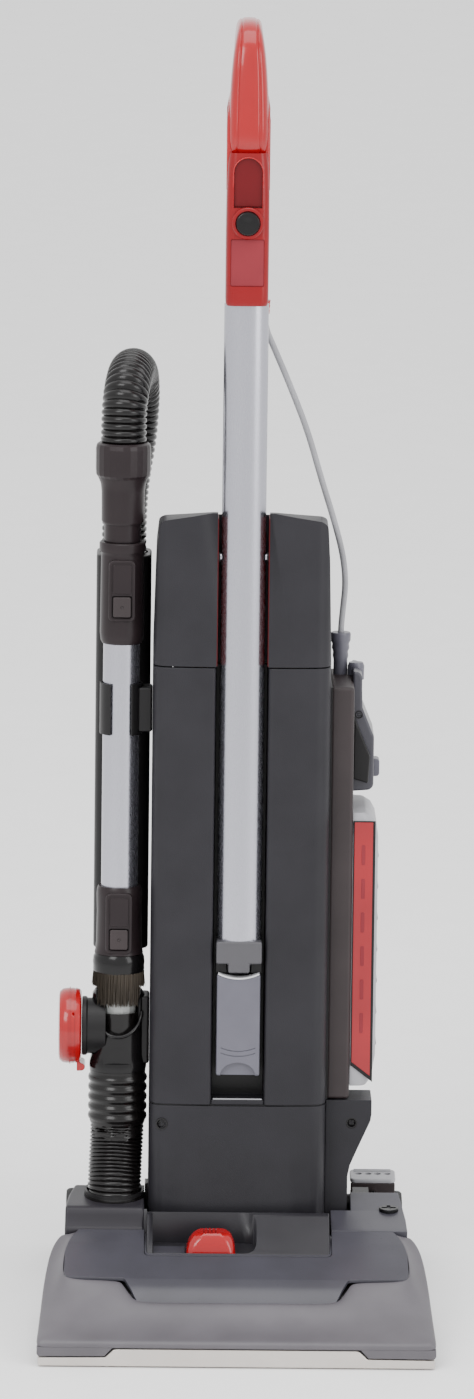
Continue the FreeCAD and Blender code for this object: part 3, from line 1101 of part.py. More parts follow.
def make_hoses():
    """Cable from the switch to the body, and the corrugated hose in four stretches."""
    lead = [upright_point(*point) for point in LEAD_ROUTE]
    swept_tube("switch_cord", lead, dim("cord_radius"))
    loop = [upright_point(*point) for point in LOOP_ROUTE]
    swept_tube("hose_loop", loop, dim("flex_radius"), dim("flex_radius") - 3)
    guide = ("-guide_axis", "guide_middle")
    upright_part(ring("hose_run_lower", "flex_radius", "flex_radius - 3", "guide_low + 12.3",
                      "flex_split - 0.2", guide))
    upright_part(ring("hose_run_upper", "flex_radius", "flex_radius - 3", "flex_split",
                      "guide_high + 0.5", guide))
    bottom = base_point(-dim("socket_left"), -dim("socket_front"), dim("socket_top") + 1)
    top = upright_point(-dim("wand_left"), -dim("wand_front"), dim("ribbed_low") - 10)
    heading = top - bottom
    tube = Part.makeCylinder(dim("hose_radius") - 2, heading.Length, bottom, heading)
    core = Part.makeCylinder(dim("hose_bore") - 1, heading.Length, bottom, heading)
    plain_part("hose_lower", tube.cut(core))


def make_grommet():
    body = rod("grommet_cup", "z", ("grommet_out", "grommet_back"), "6.5",
               ("grommet_low", "grommet_high"), "9")
    bore = rod("grommet_bore", "z", ("grommet_out", "grommet_back"), "cord_radius + 0.6",
               ("grommet_high - 11", "grommet_high + 1"))
    return upright_part(cut("cord_grommet", body, bore))


# ---------------------------------------------------------------- assembly and export
def build():
    make_base()
    make_brush_drive()
    make_wheels()
    make_carriage()
    make_knob()
    make_pedal()
    make_shells()
    make_inside()
    make_side_housing()
    make_filter_cover()
    make_filter_latch()
    make_bag_door()
    make_handle_tube()
    make_handle_grip()
    make_hook()
    make_elbow()
    make_ribbed_cuff()
    make_cleanout_cap()
    make_guide_and_clip()
    make_wand()
    make_wand_handle()
    make_grommet()
    make_hoses()
    doc.recompute()


def check_and_export():
    """Stops on any failed object or bad shape, then writes one file per sub-part."""
    for item in doc.Objects:
        if {"Invalid", "Error"} & set(item.State):
            raise ValueError(f"{item.Name} failed: {item.State}")
    for node in NODES:
        shape = node.Shape
        if shape.isNull() or not shape.isValid() or not shape.Solids:
            raise ValueError(node.Label + " has no valid solid")
        if len(shape.Solids) > 1:
            print(node.Label, "has", len(shape.Solids), "solids")
    os.makedirs("parts", exist_ok=True)
    whole = FreeCAD.BoundBox()
    for node in NODES:
        node.Shape.exportStep(f"parts/{node.Label}.step")
        whole.add(node.Shape.BoundBox)
    print(len(NODES), "sub-parts", whole)


build()
check_and_export()
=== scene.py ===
"""Looks of the upright vacuum cleaner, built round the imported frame.

Shapes are drawn in millimetres in one of two frames: BASE stands on the floor under the recline
axis, UPRIGHT sits on that axis with Z up the leaned body.  `place` turns them into metres.
"""
import bmesh
import bpy
import json
import math
import random
from mathutils import Matrix, Vector


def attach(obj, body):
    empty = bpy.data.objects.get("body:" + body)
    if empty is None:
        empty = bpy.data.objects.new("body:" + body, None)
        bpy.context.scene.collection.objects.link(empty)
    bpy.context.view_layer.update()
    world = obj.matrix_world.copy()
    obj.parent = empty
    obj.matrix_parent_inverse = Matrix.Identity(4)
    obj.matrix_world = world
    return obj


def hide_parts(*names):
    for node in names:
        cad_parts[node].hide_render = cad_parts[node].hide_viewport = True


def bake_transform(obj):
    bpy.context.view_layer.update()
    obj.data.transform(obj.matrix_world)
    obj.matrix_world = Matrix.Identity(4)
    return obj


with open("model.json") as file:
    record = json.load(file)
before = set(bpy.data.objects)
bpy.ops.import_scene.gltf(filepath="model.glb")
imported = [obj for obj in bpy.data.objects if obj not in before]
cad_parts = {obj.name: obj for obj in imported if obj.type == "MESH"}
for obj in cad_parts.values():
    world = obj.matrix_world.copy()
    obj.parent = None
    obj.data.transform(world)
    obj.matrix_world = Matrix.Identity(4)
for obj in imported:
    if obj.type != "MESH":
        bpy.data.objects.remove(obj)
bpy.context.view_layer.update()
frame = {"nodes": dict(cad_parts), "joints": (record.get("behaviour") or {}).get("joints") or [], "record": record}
scene = bpy.context.scene
JOINTS = {joint["name"]: joint for joint in frame["joints"]}

# ---------------------------------------------------------------- frames
MM = 0.001
HINGE = Vector(JOINTS["body_recline"]["pos_m"])
UP_AXIS = Vector(JOINTS["wand_lift"]["axis"])
LEAN = math.atan2(UP_AXIS.y, UP_AXIS.z)
BASE = Matrix.Translation((0, HINGE.y, 0)) @ Matrix.Scale(MM, 4)
UPRIGHT = Matrix.Translation(HINGE) @ Matrix.Rotation(-LEAN, 4, "X") @ Matrix.Scale(MM, 4)

# ---------------------------------------------------------------- camera
CAMERA_AZIMUTH = math.radians(-0.652)
CAMERA_RISE = math.radians(14.12)
CAMERA_ROLL = math.radians(0.733)
CAMERA_AWAY = 7.3426
CAMERA_TARGET = Vector((-0.00438, 0.0, 0.5422))
SENSOR = 36.0
LENS = SENSOR * 6.0455


def make_camera():
    """A long lens in front of the machine, a little above it, with the roll of a hand-held view."""
    forward = Vector((-math.sin(CAMERA_AZIMUTH) * math.cos(CAMERA_RISE),
        math.cos(CAMERA_AZIMUTH) * math.cos(CAMERA_RISE), -math.sin(CAMERA_RISE)))
    level = forward.cross(Vector((0, 0, 1))).normalized()
    above = level.cross(forward)
    right = level * math.cos(CAMERA_ROLL) + above * math.sin(CAMERA_ROLL)
    up = above * math.cos(CAMERA_ROLL) - level * math.sin(CAMERA_ROLL)
    data = bpy.data.cameras.new("camera")
    data.sensor_width = SENSOR
    data.lens = LENS
    data.clip_start = 0.1
    data.clip_end = 60.0
    camera = bpy.data.objects.new("camera", data)
    scene.collection.objects.link(camera)
    turn = Matrix((right, up, -forward)).transposed().to_4x4()
    camera.matrix_world = Matrix.Translation(CAMERA_TARGET - forward * CAMERA_AWAY) @ turn
    scene.camera = camera


make_camera()


# ---------------------------------------------------------------- materials
def linear(red, green, blue):
    """Scene colour of an 8-bit display colour."""
    def one(value):
        share = value / 255
        return share / 12.92 if share <= 0.04045 else ((share + 0.055) / 1.055) ** 2.4
    return one(red), one(green), one(blue)


def shades(colour, change):
    return [tuple(min(1.0, part * (1 + sign * change)) for part in colour) + (1.0,) for sign in (-1, 1)]


def moulded(name, colour, rough, grain=0.6, bump=0.12, change=0.12, metallic=0.0, coat=0.0,
        stretch=(1, 1, 1), specular=0.5):
    """Moulded or drawn surface: fine grain in the bump, slow drift in colour and roughness."""
    material = bpy.data.materials.new(name)
    material.use_nodes = True
    nodes, links = material.node_tree.nodes, material.node_tree.links
    shader = nodes["Principled BSDF"]
    shader.inputs["Metallic"].default_value = metallic
    shader.inputs["Coat Weight"].default_value = coat
    shader.inputs["Coat Roughness"].default_value = 0.08
    shader.inputs["Specular IOR Level"].default_value = specular
    place_in = nodes.new("ShaderNodeTexCoord")
    scale = nodes.new("ShaderNodeMapping")
    scale.inputs["Scale"].default_value = stretch
    links.new(place_in.outputs["Object"], scale.inputs["Vector"])

    def noise(size_mm, detail):
        node = nodes.new("ShaderNodeTexNoise")
        node.inputs["Scale"].default_value = 1000 / size_mm
        node.inputs["Detail"].default_value = detail
        links.new(scale.outputs["Vector"], node.inputs["Vector"])
        return node

    slow, fine = noise(45, 3), noise(grain, 2)
    ramp = nodes.new("ShaderNodeValToRGB")
    low, high = shades(colour, change)
    ramp.color_ramp.elements[0].position = 0.3
    ramp.color_ramp.elements[0].color = low
    ramp.color_ramp.elements[1].position = 0.7
    ramp.color_ramp.elements[1].color = high
    links.new(slow.outputs["Fac"], ramp.inputs["Fac"])
    links.new(ramp.outputs["Color"], shader.inputs["Base Color"])
    spread = nodes.new("ShaderNodeMapRange")
    spread.inputs["To Min"].default_value = max(0.02, rough - 0.06)
    spread.inputs["To Max"].default_value = min(1.0, rough + 0.06)
    links.new(fine.outputs["Fac"], spread.inputs["Value"])
    links.new(spread.outputs["Result"], shader.inputs["Roughness"])
    relief = nodes.new("ShaderNodeBump")
    relief.inputs["Strength"].default_value = bump
    relief.inputs["Distance"].default_value = grain * MM * 0.5
    links.new(fine.outputs["Fac"], relief.inputs["Height"])
    links.new(relief.outputs["Normal"], shader.inputs["Normal"])
    return material


MATERIALS = {"charcoal_shell": moulded("charcoal", linear(33, 32, 36), 0.44, 0.7, 0.35, specular=0.22),
    "side_plastic": moulded("side_grey", linear(44, 37, 38), 0.46, 0.7, 0.3, specular=0.3),
    "black_plastic": moulded("black_moulding", linear(19, 18, 19), 0.38, 0.8, 0.2, specular=0.25),
    "hood_plastic": moulded("hood_grey", linear(58, 57, 64), 0.3, 0.9, 0.12, specular=0.4),
    "bumper_plastic": moulded("bumper_grey", linear(82, 79, 84), 0.42, 0.8, 0.2),
    "nozzle_metal": moulded("nozzle_silver", linear(200, 194, 188), 0.34, 0.5, 0.05, 0.05, 0.75),
    "red_plastic": moulded("red_gloss", linear(150, 4, 12), 0.22, 1.2, 0.03, 0.06, coat=0.35,
    specular=0.35), "tube_metal": moulded("drawn_aluminium", linear(176, 176, 185), 0.26, 0.5, 0.05,
    0.03, 0.95, stretch=(1, 1, 0.03)), "pale_plastic": moulded("pale_grey", linear(150, 150, 154), 0.42,
    0.7, 0.15), "smoke_plastic": moulded("smoke_grey", linear(84, 83, 93), 0.34, 0.7, 0.1),
    "wand_plastic": moulded("wand_brown", linear(32, 25, 27), 0.34, 0.8, 0.12, specular=0.22),
    "hose_plastic": moulded("hose_black", linear(11, 9, 9), 0.24, 0.9, 0.06, coat=0.05, specular=0.3),
    "bristle": moulded("bristle_hair", linear(50, 42, 32), 0.7, 0.4, 0.3, 0.35),
    "switch_black": moulded("switch_gloss", linear(14, 13, 14), 0.2, 0.9, 0.03, coat=0.05,
    specular=0.25), "cord_rubber": moulded("cord_grey", linear(146, 146, 150), 0.6, 0.5, 0.15),
    "wheel_rubber": moulded("tyre_black", linear(34, 34, 35), 0.75, 0.6, 0.4),
    "roll_wood": moulded("roll_brown", linear(84, 74, 66), 0.5, 0.8, 0.2),
    "motor_metal": moulded("motor_zinc", linear(150, 150, 152), 0.4, 0.7, 0.2, 0.08, 0.8),
    "paper": moulded("bag_paper", linear(196, 182, 150), 0.85, 0.5, 0.4, 0.08),}
# deep red: painted shade in the switch's arched hollow, and the notch's red side strips
DEEP_RED = moulded("deep_red", linear(88, 10, 16), 0.42, 0.8, 0.12, specular=0.2)
DUSTY_RED = moulded("dusty_red", linear(118, 34, 42), 0.5, 0.6, 0.2, specular=0.25)
LABEL_RED = moulded("label_red", linear(140, 14, 24), 0.34, 0.9, 0.06)
TIP_GREY = moulded("tip_grey", linear(150, 152, 150), 0.25, 0.8, 0.1, coat=0.3)
COLLAR_GREY = moulded("collar_grey", linear(68, 67, 71), 0.42, 0.7, 0.15)
# darker grey for the left rear deck only: painted shade on the side away from the light
DECK_SHADE = moulded("deck_painted_shade", linear(38, 36, 41), 0.4, 0.9, 0.12, specular=0.25)
CONSOLE_GREY = moulded("console_grey", linear(36, 35, 39), 0.36, 0.9, 0.12, specular=0.3)
HOUSING_RED = moulded("housing_red", linear(122, 6, 13), 0.3, 1.2, 0.03, 0.06, specular=0.3)
MARK_WHITE = moulded("mark_white", linear(205, 205, 208), 0.5, 0.5, 0.1)
SCREW_STEEL = moulded("screw_steel", linear(30, 30, 32), 0.3, 0.4, 0.1, 0.1, 0.8)


# ---------------------------------------------------------------- mesh tools
def keep_mesh(name, mesh_tools, place):
    """Object from a bmesh in millimetres in one of the two frames, or in metres with no frame."""
    bmesh.ops.remove_doubles(mesh_tools, verts=mesh_tools.verts, dist=0.001)
    bmesh.ops.recalc_face_normals(mesh_tools, faces=mesh_tools.faces)
    mesh_tools.transform(place)
    mesh = bpy.data.meshes.new(name)
    mesh_tools.to_mesh(mesh)
    mesh_tools.free()
    piece = bpy.data.objects.new(name, mesh)
    scene.collection.objects.link(piece)
    return piece


def loft(name, rings, place=UPRIGHT, caps=True, round_trip=False):
    """Closed skin through rings of points; round_trip joins the last ring to the first."""
    tools = bmesh.new()
    rows = [[tools.verts.new(point) for point in ring] for ring in rings]
    pairs = list(zip(rows, rows[1:])) + ([(rows[-1], rows[0])] if round_trip else [])
    for near, far in pairs:
        count = len(near)
        for i in range(count):
            tools.faces.new((near[i], near[(i + 1) % count], far[(i + 1) % count], far[i]))
    if caps and not round_trip:
        tools.faces.new(rows[0])
        tools.faces.new(rows[-1])
    return keep_mesh(name, tools, place)


SIDES = ((-1, "left"), (1, "right"))
MID = 0.01                      # radius that stands for the axis where a turned profile closes on it
SPREAD = {"x": lambda u, v, t: (t, u, v), "y": lambda u, v, t: (u, t, v), "z": lambda u, v, t: (u, v, t)}


def prism(name, axis, span, outline, place=UPRIGHT):
    """Outline in the plane square to an axis, pulled along it."""
    rings = [[SPREAD[axis](u, v, t) for u, v in outline] for t in span]
    return loft(name, rings, place)


def box(name, across, along, up, place=UPRIGHT):
    return prism(name, "z", up, [(across[0], along[0]), (across[1], along[0]), (across[1], along[1]),
        (across[0], along[1])], place)


def lathe(name, axis, centre, profile, steps=56, closed=True, place=UPRIGHT):
    """Profile of (radius, height) turned round an axis; a closed profile makes a ring."""
    rings = []
    for radius, height in profile:
        ring = []
        for i in range(steps):
            angle = 2 * math.pi * i / steps
            ring.append(SPREAD[axis](centre[0] + radius * math.cos(angle),
                centre[1] + radius * math.sin(angle), height))
        rings.append(ring)
    return loft(name, rings, place, caps=not closed, round_trip=closed)


def rod(name, axis, centre, radius, span, steps, place=UPRIGHT):
    """Plain solid cylinder, used as a tool that cuts a round recess."""
    low, high = span
    return lathe(name, axis, centre, [(MID, low), (radius, low), (radius, high), (MID, high)], steps,
        closed=False, place=place)


def arc(across, along, radius, start, end, steps=6):
    """Points on an arc, angles in degrees."""
    angles = [math.radians(start + (end - start) * i / steps) for i in range(steps + 1)]
    return [(across + radius * math.cos(a), along + radius * math.sin(a)) for a in angles]


def round_rect(left, right, low, high, radius, steps=5):
    """Rectangle with round corners."""
    corners = ((right - radius, high - radius, 0), (left + radius, high - radius, 90), (left + radius,
        low + radius, 180), (right - radius, low + radius, 270))
    points = []
    for across, along, start in corners:
        points += arc(across, along, radius, start, start + 90, steps)
    return points


def oval(wide, deep, centre, steps=48):
    return [(centre[0] + wide * math.cos(2 * math.pi * i / steps),
        centre[1] + deep * math.sin(2 * math.pi * i / steps)) for i in range(steps)]


def mirrored(half):
    """Right half of an outline and its mirror image."""
    return half + [(-x, y) for x, y in reversed(half)]


def settle(piece):
    """Applies the piece's modifiers to its mesh."""
    bpy.context.view_layer.update()
    graph = bpy.context.evaluated_depsgraph_get()
    mesh = bpy.data.meshes.new_from_object(piece.evaluated_get(graph))
    piece.modifiers.clear()
    piece.data = mesh
    return piece


def combine(piece, operation, *tools):
    """Boolean of a piece with other solids, which are used up."""
    for tool in tools:
        change = piece.modifiers.new(operation.lower(), "BOOLEAN")
        change.operation = operation
        change.solver = "EXACT"
        change.object = tool
    settle(piece)
    for tool in tools:
        bpy.data.objects.remove(tool)
    return piece


def carve(piece, *tools):
    return combine(piece, "DIFFERENCE", *tools)


def soften(piece, width, steps=3, angle=32):
    """Rounds the edges that turn by more than the angle."""
    for face in piece.data.polygons:
        face.use_smooth = True
    change = piece.modifiers.new("round", "BEVEL")
    change.width = width * MM
    change.segments = steps
    change.limit_method = "ANGLE"
    change.angle_limit = math.radians(angle)
    change.harden_normals = True
    change.use_clamp_overlap = True
    return settle(piece)


def smooth(piece, angle=40):
    for face in piece.data.polygons:
        face.use_smooth = True
    piece.data.set_sharp_from_angle(angle=math.radians(angle))
    change = piece.modifiers.new("even", "WEIGHTED_NORMAL")
    change.keep_sharp = True
    return settle(piece)


def dress(piece, slot, body="upright", *nodes, material=None):
    """Finish, slot and body of a piece, and the nodes that it stands for."""
    piece.data.materials.clear()
    piece.data.materials.append(material or MATERIALS[slot])
    if nodes:
        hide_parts(*nodes)
    if body:
        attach(piece, body)
    return piece


def cast(piece, edge, steps, slot, body="upright", *nodes, angle=32, material=None):
    """Piece with rounded edges, finished and put on its body."""
    return dress(soften(piece, edge, steps, angle), slot, body, *nodes, material=material)


def polish(piece, angle, slot, body="upright", *nodes, material=None):
    """Piece with even shading, finished and put on its body."""
    return dress(smooth(piece, angle), slot, body, *nodes, material=material)


def merged(name, pieces):
    """One object from several."""
    tools = bmesh.new()
    for piece in pieces:
        tools.from_mesh(piece.data)
    mesh = bpy.data.meshes.new(name)
    tools.to_mesh(mesh)
    tools.free()
    for piece in pieces:
        bpy.data.objects.remove(piece)
    result = bpy.data.objects.new(name, mesh)
    scene.collection.objects.link(result)
    return result


# ---------------------------------------------------------------- cords and hoses
LEAD_ROUTE = [(16, -43, 797), (16, -43, 786), (25, -41, 766), (39, -33, 733), (55, -22, 692),
    (67, -9, 650), (79.5, 7, 610), (88, 19, 578), (91, 26.5, 552), (89, 29.5, 529), (87.3, 29.9, 511),
    (87.3, 30, 496)]
LOOP_ROUTE = [(-105, -38, 683), (-105, -38, 708), (-103, -30, 727), (-100, -7, 738), (-97, 22, 739),
    (-94, 49, 729), (-93.5, 62, 704), (-96, 63.5, 671), (-102, 63, 636), (-104, 62, 603),
    (-104, 62, 572.8)]
LEAD_RADIUS = 2.7
FLEX_RADIUS = 20.0
LOWER_ROUTE = [(-107, -50, 84), (-107, -50, 92), (-107, -50, 104), (-106.3, -42, 124), (-105.3, -34,
    146), (-105, -31.6, 158), (-105, -30.7, 170)]
LOWER_RADIUS = 23.6
GUIDE = (-104, 62)              # axis of the hose behind the body
SOCKET = (-107, -50)            # where the lower hose enters the base
GROMMET = (87.3, 30)            # where the lead enters the side housing


def route_curve(name, points):
    """Smooth open curve with the route's points as its control points."""
    data = bpy.data.curves.new(name, "CURVE")
    data.dimensions = "3D"
    data.resolution_u = 16
    spline = data.splines.new("NURBS")
    spline.points.add(len(points) - 1)
    for knot, point in zip(spline.points, points):
        knot.co = (*point, 1.0)
    spline.order_u = 3
    spline.use_endpoint_u = True
    curve = bpy.data.objects.new(name, data)
    scene.collection.objects.link(curve)
    return curve


def curve_length(points):
    return sum((b - a).length for a, b in zip(points, points[1:]))


def line_of(route):
    """Points of the smooth line of a route."""
    curve = route_curve("line", route)
    graph = bpy.context.evaluated_depsgraph_get()
    mesh = bpy.data.meshes.new_from_object(curve.evaluated_get(graph))
    points = [vertex.co.copy() for vertex in mesh.vertices]
    bpy.data.objects.remove(curve)
    return points


def even_line(points, step):
    """The line walked in even steps."""
    total = curve_length(points)
    count = max(2, round(total / step))
    walked, result, target, i = 0.0, [points[0].copy()], total / count, 0
    while i < len(points) - 1:
        run = (points[i + 1] - points[i]).length
        if walked + run >= target - 1e-9 and run > 0:
            result.append(points[i].lerp(points[i + 1], (target - walked) / run))
            target += total / count
            if len(result) > count:
                break
        else:
            walked += run
            i += 1
    result[-1] = points[-1].copy()
    return result


def corrugated(name, line, radius, pitch, depth, around=40, per_ring=6, wall=2.5):
    """Ribbed tube along a line in metres: round crests, narrow valleys, open ends."""
    stations = even_line(line, pitch / per_ring)
    side = Vector((1, 0, 0))
    tools = bmesh.new()
    outer, inner = [], []
    for i, point in enumerate(stations):
        ahead = stations[min(i + 1, len(stations) - 1)] - stations[max(i - 1, 0)]
        heading = ahead.normalized()
        side = (side - heading * side.dot(heading)).normalized()
        other = heading.cross(side)
        wave = abs(math.sin(math.pi * i / per_ring)) ** 0.7
        reach = radius - depth * (1 - wave)
        ring = []
        for k in range(around):
            angle = 2 * math.pi * k / around
            ring.append(side * math.cos(angle) + other * math.sin(angle))
        outer.append([tools.verts.new(point + ray * reach) for ray in ring])
        if i in (0, len(stations) - 1):
            inner.append([tools.verts.new(point + ray * (radius - depth - wall * MM)) for ray in ring])
    rows = [inner[0]] + outer + [inner[-1]]
    for near, far in zip(rows, rows[1:]):
        for k in range(around):
            tools.faces.new((near[k], near[(k + 1) % around], far[(k + 1) % around], far[k]))
    return smooth(keep_mesh(name, tools, Matrix.Identity(4)), 60)


def make_cords():
    """Lead from the switch housing down to the side housing, and loop of hose from wand to guide."""
    lead_points = [UPRIGHT @ Vector(point) for point in LEAD_ROUTE]
    length = curve_length(line_of(lead_points))
    lead = route_curve("switch_lead", lead_points)
    lead.data.bevel_depth = LEAD_RADIUS * MM
    lead.data.bevel_resolution = 6
    dress(lead, "cord_rubber", "upright", "switch_cord")
    loop_line = line_of([UPRIGHT @ Vector(point) for point in LOOP_ROUTE])
    loop = corrugated("hose_loop_skin", loop_line, FLEX_RADIUS * MM, 0.0056, 0.0021)
    dress(loop, "hose_plastic", "wand_handle", "hose_loop")


def make_hoses():
    """Stretches of the hose where the body bends over and the wand slides out, each built fixed in place on no
    body.
    """
    lower_line = line_of([BASE @ Vector(point) for point in LOWER_ROUTE])
    lower = corrugated("hose_lower_skin", lower_line, LOWER_RADIUS * MM, 0.0034, 0.0016, around=48)
    dress(lower, "hose_plastic", None, "hose_lower")
    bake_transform(lower)
    for name, node, low, high, pair in (("hose_run_lower_skin", "hose_run_lower", 233, 405,
            ("upright", "wand")), ("hose_run_upper_skin", "hose_run_upper", 405, 573,
            ("wand", "wand_handle"))):
        ends = [UPRIGHT @ Vector((*GUIDE, height)) for height in (low, high)]
        run = corrugated(name, ends, FLEX_RADIUS * MM, 0.0056, 0.0021)
        dress(run, "hose_plastic", None, node)
        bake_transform(run)


make_cords()
make_hoses()


# ---------------------------------------------------------------- upright shells
HALF = 77.5
FACE = -75.0
SEAM_LOW = 103.0
SEAM_HIGH = 491.5
CHANNEL = 22.5
CHANNEL_BACK = -47.0
PANEL_WALL = 3.0
COVER_SCREW = (-66, 86)
FOOT_SCREW = (101, 82)


def screw_head(name, centre, face, radius):
    """Round countersunk screw with a cross slot, sunk in its ring, in a face of the body."""
    rim = face + 0.9
    back = face + 2.5
    polish(lathe(name + "_ring", "y", centre, [(radius * 0.72, rim), (radius * 0.78, face),
        (radius, face), (radius, back), (radius * 0.72, back)], 32), 40, "switch_black")
    low = face + 3.2
    head = lathe(name + "_head", "y", centre, [(MID, low), (radius * 0.7, low), (radius * 0.7,
        rim + 0.8), (radius * 0.45, rim + 0.2), (MID, rim)], 32, closed=False)
    arm, thin = radius * 0.45, radius * 0.1
    cutters = [prism("slot", "y", (rim - 1.0, rim + 1.2), [(centre[0] - wide, centre[1] - tall),
        (centre[0] + wide, centre[1] - tall), (centre[0] + wide, centre[1] + tall), (centre[0] - wide,
        centre[1] + tall)]) for wide, tall in ((arm, thin), (thin, arm))]
    polish(carve(head, *cutters), 40, "switch_black")


def body_plan(inset=0.0, back=94.0):
    """Plan of the body: flat face, round cheeks, straight sides."""
    right = arc(HALF - 15, FACE + 17.2, 15 - inset, -84, 0, 8) + [(HALF - inset, back)]
    left = [(-x, y) for x, y in reversed(right)]
    return [(-CHANNEL, FACE + inset), (CHANNEL, FACE + inset),
        (45, FACE + 0.7 + inset)] + right + left + [(-45, FACE + 0.7 + inset)]


def front_outline():
    """Plan of the front panel: round cheeks, crowned face, deep channel for the tube."""
    right = [(CHANNEL, CHANNEL_BACK), (CHANNEL + 0.6, FACE + 3)] + arc(CHANNEL + 3.6, FACE + 3, 3, 180,
        270, 3)
    right += [(45, FACE + 0.7)] + arc(HALF - 15, FACE + 17.2, 15, -84, 0, 8) + [(HALF, -20.3)]
    inner = [(HALF - PANEL_WALL, -20.3), (HALF - PANEL_WALL, FACE + 18), (HALF - 14, FACE + 6),
        (CHANNEL + 4, FACE + 4), (CHANNEL + 3.4, CHANNEL_BACK + PANEL_WALL)]
    return mirrored(right + inner)


def make_front_panel():
    cast(prism("front_panel_skin", "z", (SEAM_LOW + 0.4, SEAM_HIGH - 0.6), front_outline()), 1.0, 2,
        "charcoal_shell", "upright", "front_panel", angle=40)
    cast(box("channel_stop", (-CHANNEL - 0.5, CHANNEL + 0.5), (FACE + 1.5, CHANNEL_BACK),
        (SEAM_LOW + 0.4, 108)), 1.2, 3, "charcoal_shell")
    cast(box("channel_lip", (-CHANNEL + 1, CHANNEL - 1), (FACE + 2.5, FACE + 4.5), (107.8, 109)), 0.4, 1,
        "pale_plastic")
    # black floor of the channel behind the tube: painted shade in the narrow gaps beside and below the tube
    cast(box("channel_floor", (-CHANNEL + 0.3, CHANNEL - 0.3), (CHANNEL_BACK - 0.6, CHANNEL_BACK + 0.5),
        (109, SEAM_HIGH - 1)), 0.2, 1, "black_plastic")


def crown_line(inset=0.0):
    """Front outline of the crown, with round shoulders."""
    right = [(HALF - inset, SEAM_HIGH + 0.4), (HALF - 0.7 - inset, 520), (HALF - 2.4 - inset, 585)]
    right += arc(73.6 - 9 - inset, 611 - inset, 9, -2, 82, 7)
    return mirrored(right + [(45, 623.4 - inset), (CHANNEL, 627.6 - inset)])


CROWN_FALL = 51.0 / 170.0       # slope of the crown's top


def crown_solid(name, inset):
    """Crown: front outline, round cheeks and a top that falls away to the back."""
    cap = prism(name, "y", (FACE - 2, 101), crown_line(inset))
    plan = prism("plan", "z", (SEAM_HIGH - 20, 660), body_plan(inset, 94 - inset))
    peak = 628 - inset * 1.2
    side = prism("side", "x", (-90, 90), [(FACE - 5, SEAM_HIGH - 15), (FACE - 5, peak - 1.2),
        (FACE + 8, peak - 1.2), (FACE + 40, peak - 9), (96, peak - CROWN_FALL * 171),
        (96, SEAM_HIGH - 15)])
    combine(cap, "INTERSECT", plan)
    return combine(cap, "INTERSECT", side)


def make_top_cap():
    cap = soften(crown_solid("top_cap_skin", 0), 3.0, 4, 26)
    hollow = crown_solid("hollow", 3.4)
    keep = box("keep", (-CHANNEL - 3, CHANNEL + 3), (FACE - 2, CHANNEL_BACK + 3), (SEAM_HIGH - 8, 640))
    carve(hollow, keep)
    below = box("below", (-74, 74), (FACE + 16, 90), (SEAM_HIGH - 8, SEAM_HIGH + 3))
    notch = box("notch", (-CHANNEL, CHANNEL), (FACE - 2, CHANNEL_BACK), (SEAM_HIGH - 8, 640))
    carve(cap, hollow, below, notch)
    polish(cap, 34, "charcoal_shell", "upright", "top_cap")
    for side, name in SIDES:
        edge = sorted((side * (CHANNEL + 0.25), side * (CHANNEL - 0.7)))
        # thin dark red strips on the notch's side walls, for its reddish inner edges
        cast(box(f"notch_red_edge_{name}", edge, (FACE + 0.8, CHANNEL_BACK), (SEAM_HIGH + 1, 622)), 0.3, 1,
            "red_plastic", material=DEEP_RED)
        polish(lathe(f"pin_washer_{name}", "x", (-63, 587), [(2.2, side * 20.2), (4.6, side * 20.2),
            (4.6, side * 22), (2.2, side * 22)], 24), 40, "black_plastic")


def toe_line(face, back, low, top):
    """Side outline of the lower cover: flat face, round toe that clears the base."""
    return [(back, top), (face, top), (face, 2), (face + 1.6, -12), (face + 5.5, -26), (face + 12, -39),
        (face + 22, low), (back, low)]


def cover_solid(name, inset):
    cover = prism(name, "x", (-HALF + inset, HALF - inset), toe_line(FACE + inset, -20.4 + inset,
        -50 + inset, SEAM_LOW - 0.5 + inset * 2))
    return combine(cover, "INTERSECT", prism("plan", "z", (-60, 140), body_plan(inset, -10)))


def make_motor_cover():
    cover = soften(cover_solid("motor_cover_skin", 0), 1.5, 3, 38)
    hollow = cover_solid("hollow", 3.0)
    sink = rod("sink", "y", COVER_SCREW, 5.4, (FACE - 4, FACE + 2.8), 28)
    carve(cover, hollow, sink)
    polish(cover, 34, "charcoal_shell", "upright", "motor_cover")
    screw_head("cover_screw", COVER_SCREW, FACE + 1.4, 5.2)
    rim = prism("cover_seam", "x", (-HALF + 1.2, HALF - 1.2), [(FACE + 2.2, SEAM_LOW - 1.2),
        (-24, SEAM_LOW - 1.2), (-24, SEAM_LOW + 1), (FACE + 2.2, SEAM_LOW + 1)])
    combine(rim, "INTERSECT", prism("plan", "z", (90, 120), body_plan(1.2, -10)))
    cast(rim, 0.3, 1, "black_plastic")


make_front_panel()
make_top_cap()
make_motor_cover()


# ---------------------------------------------------------------- tube, latch and handle
TUBE_FRONT = -63.0
TUBE_WIDE = 19.25
TUBE_DEEP = 14.0
SWITCH = (0, 880)


def make_tube():
    outer = [[(x, y, z) for x, y in oval(TUBE_WIDE, TUBE_DEEP, (0, TUBE_FRONT), 64)] for z in (250, 530,
        808)]
    inner = [[(x, y, z) for x, y in oval(TUBE_WIDE - 1.5, TUBE_DEEP - 1.5, (0, TUBE_FRONT), 64)]
        for z in (808, 530, 250)]
    polish(loft("handle_tube_skin", outer + inner, round_trip=True), 40, "tube_metal", "upright",
        "handle_tube")
    outline = [(-9.5, 222)] + arc(7.5, 224, 2, -90, 0, 3) + [(9.5, 230), (20, 230), (20, 250),
        (-20, 250), (-20, 230), (-9.5, 230)]
    cast(prism("tube_collar_skin", "y", (-79, -47.4), outline), 2.0, 3, "pale_plastic", "upright",
        "tube_collar", material=COLLAR_GREY)
    for side, name in SIDES:
        span = sorted((side * 10.4, side * 20.2))
        cast(box(f"collar_pocket_{name}", span, (-70, -47.4), (220.5, 229.8)), 0.8, 3, "black_plastic")


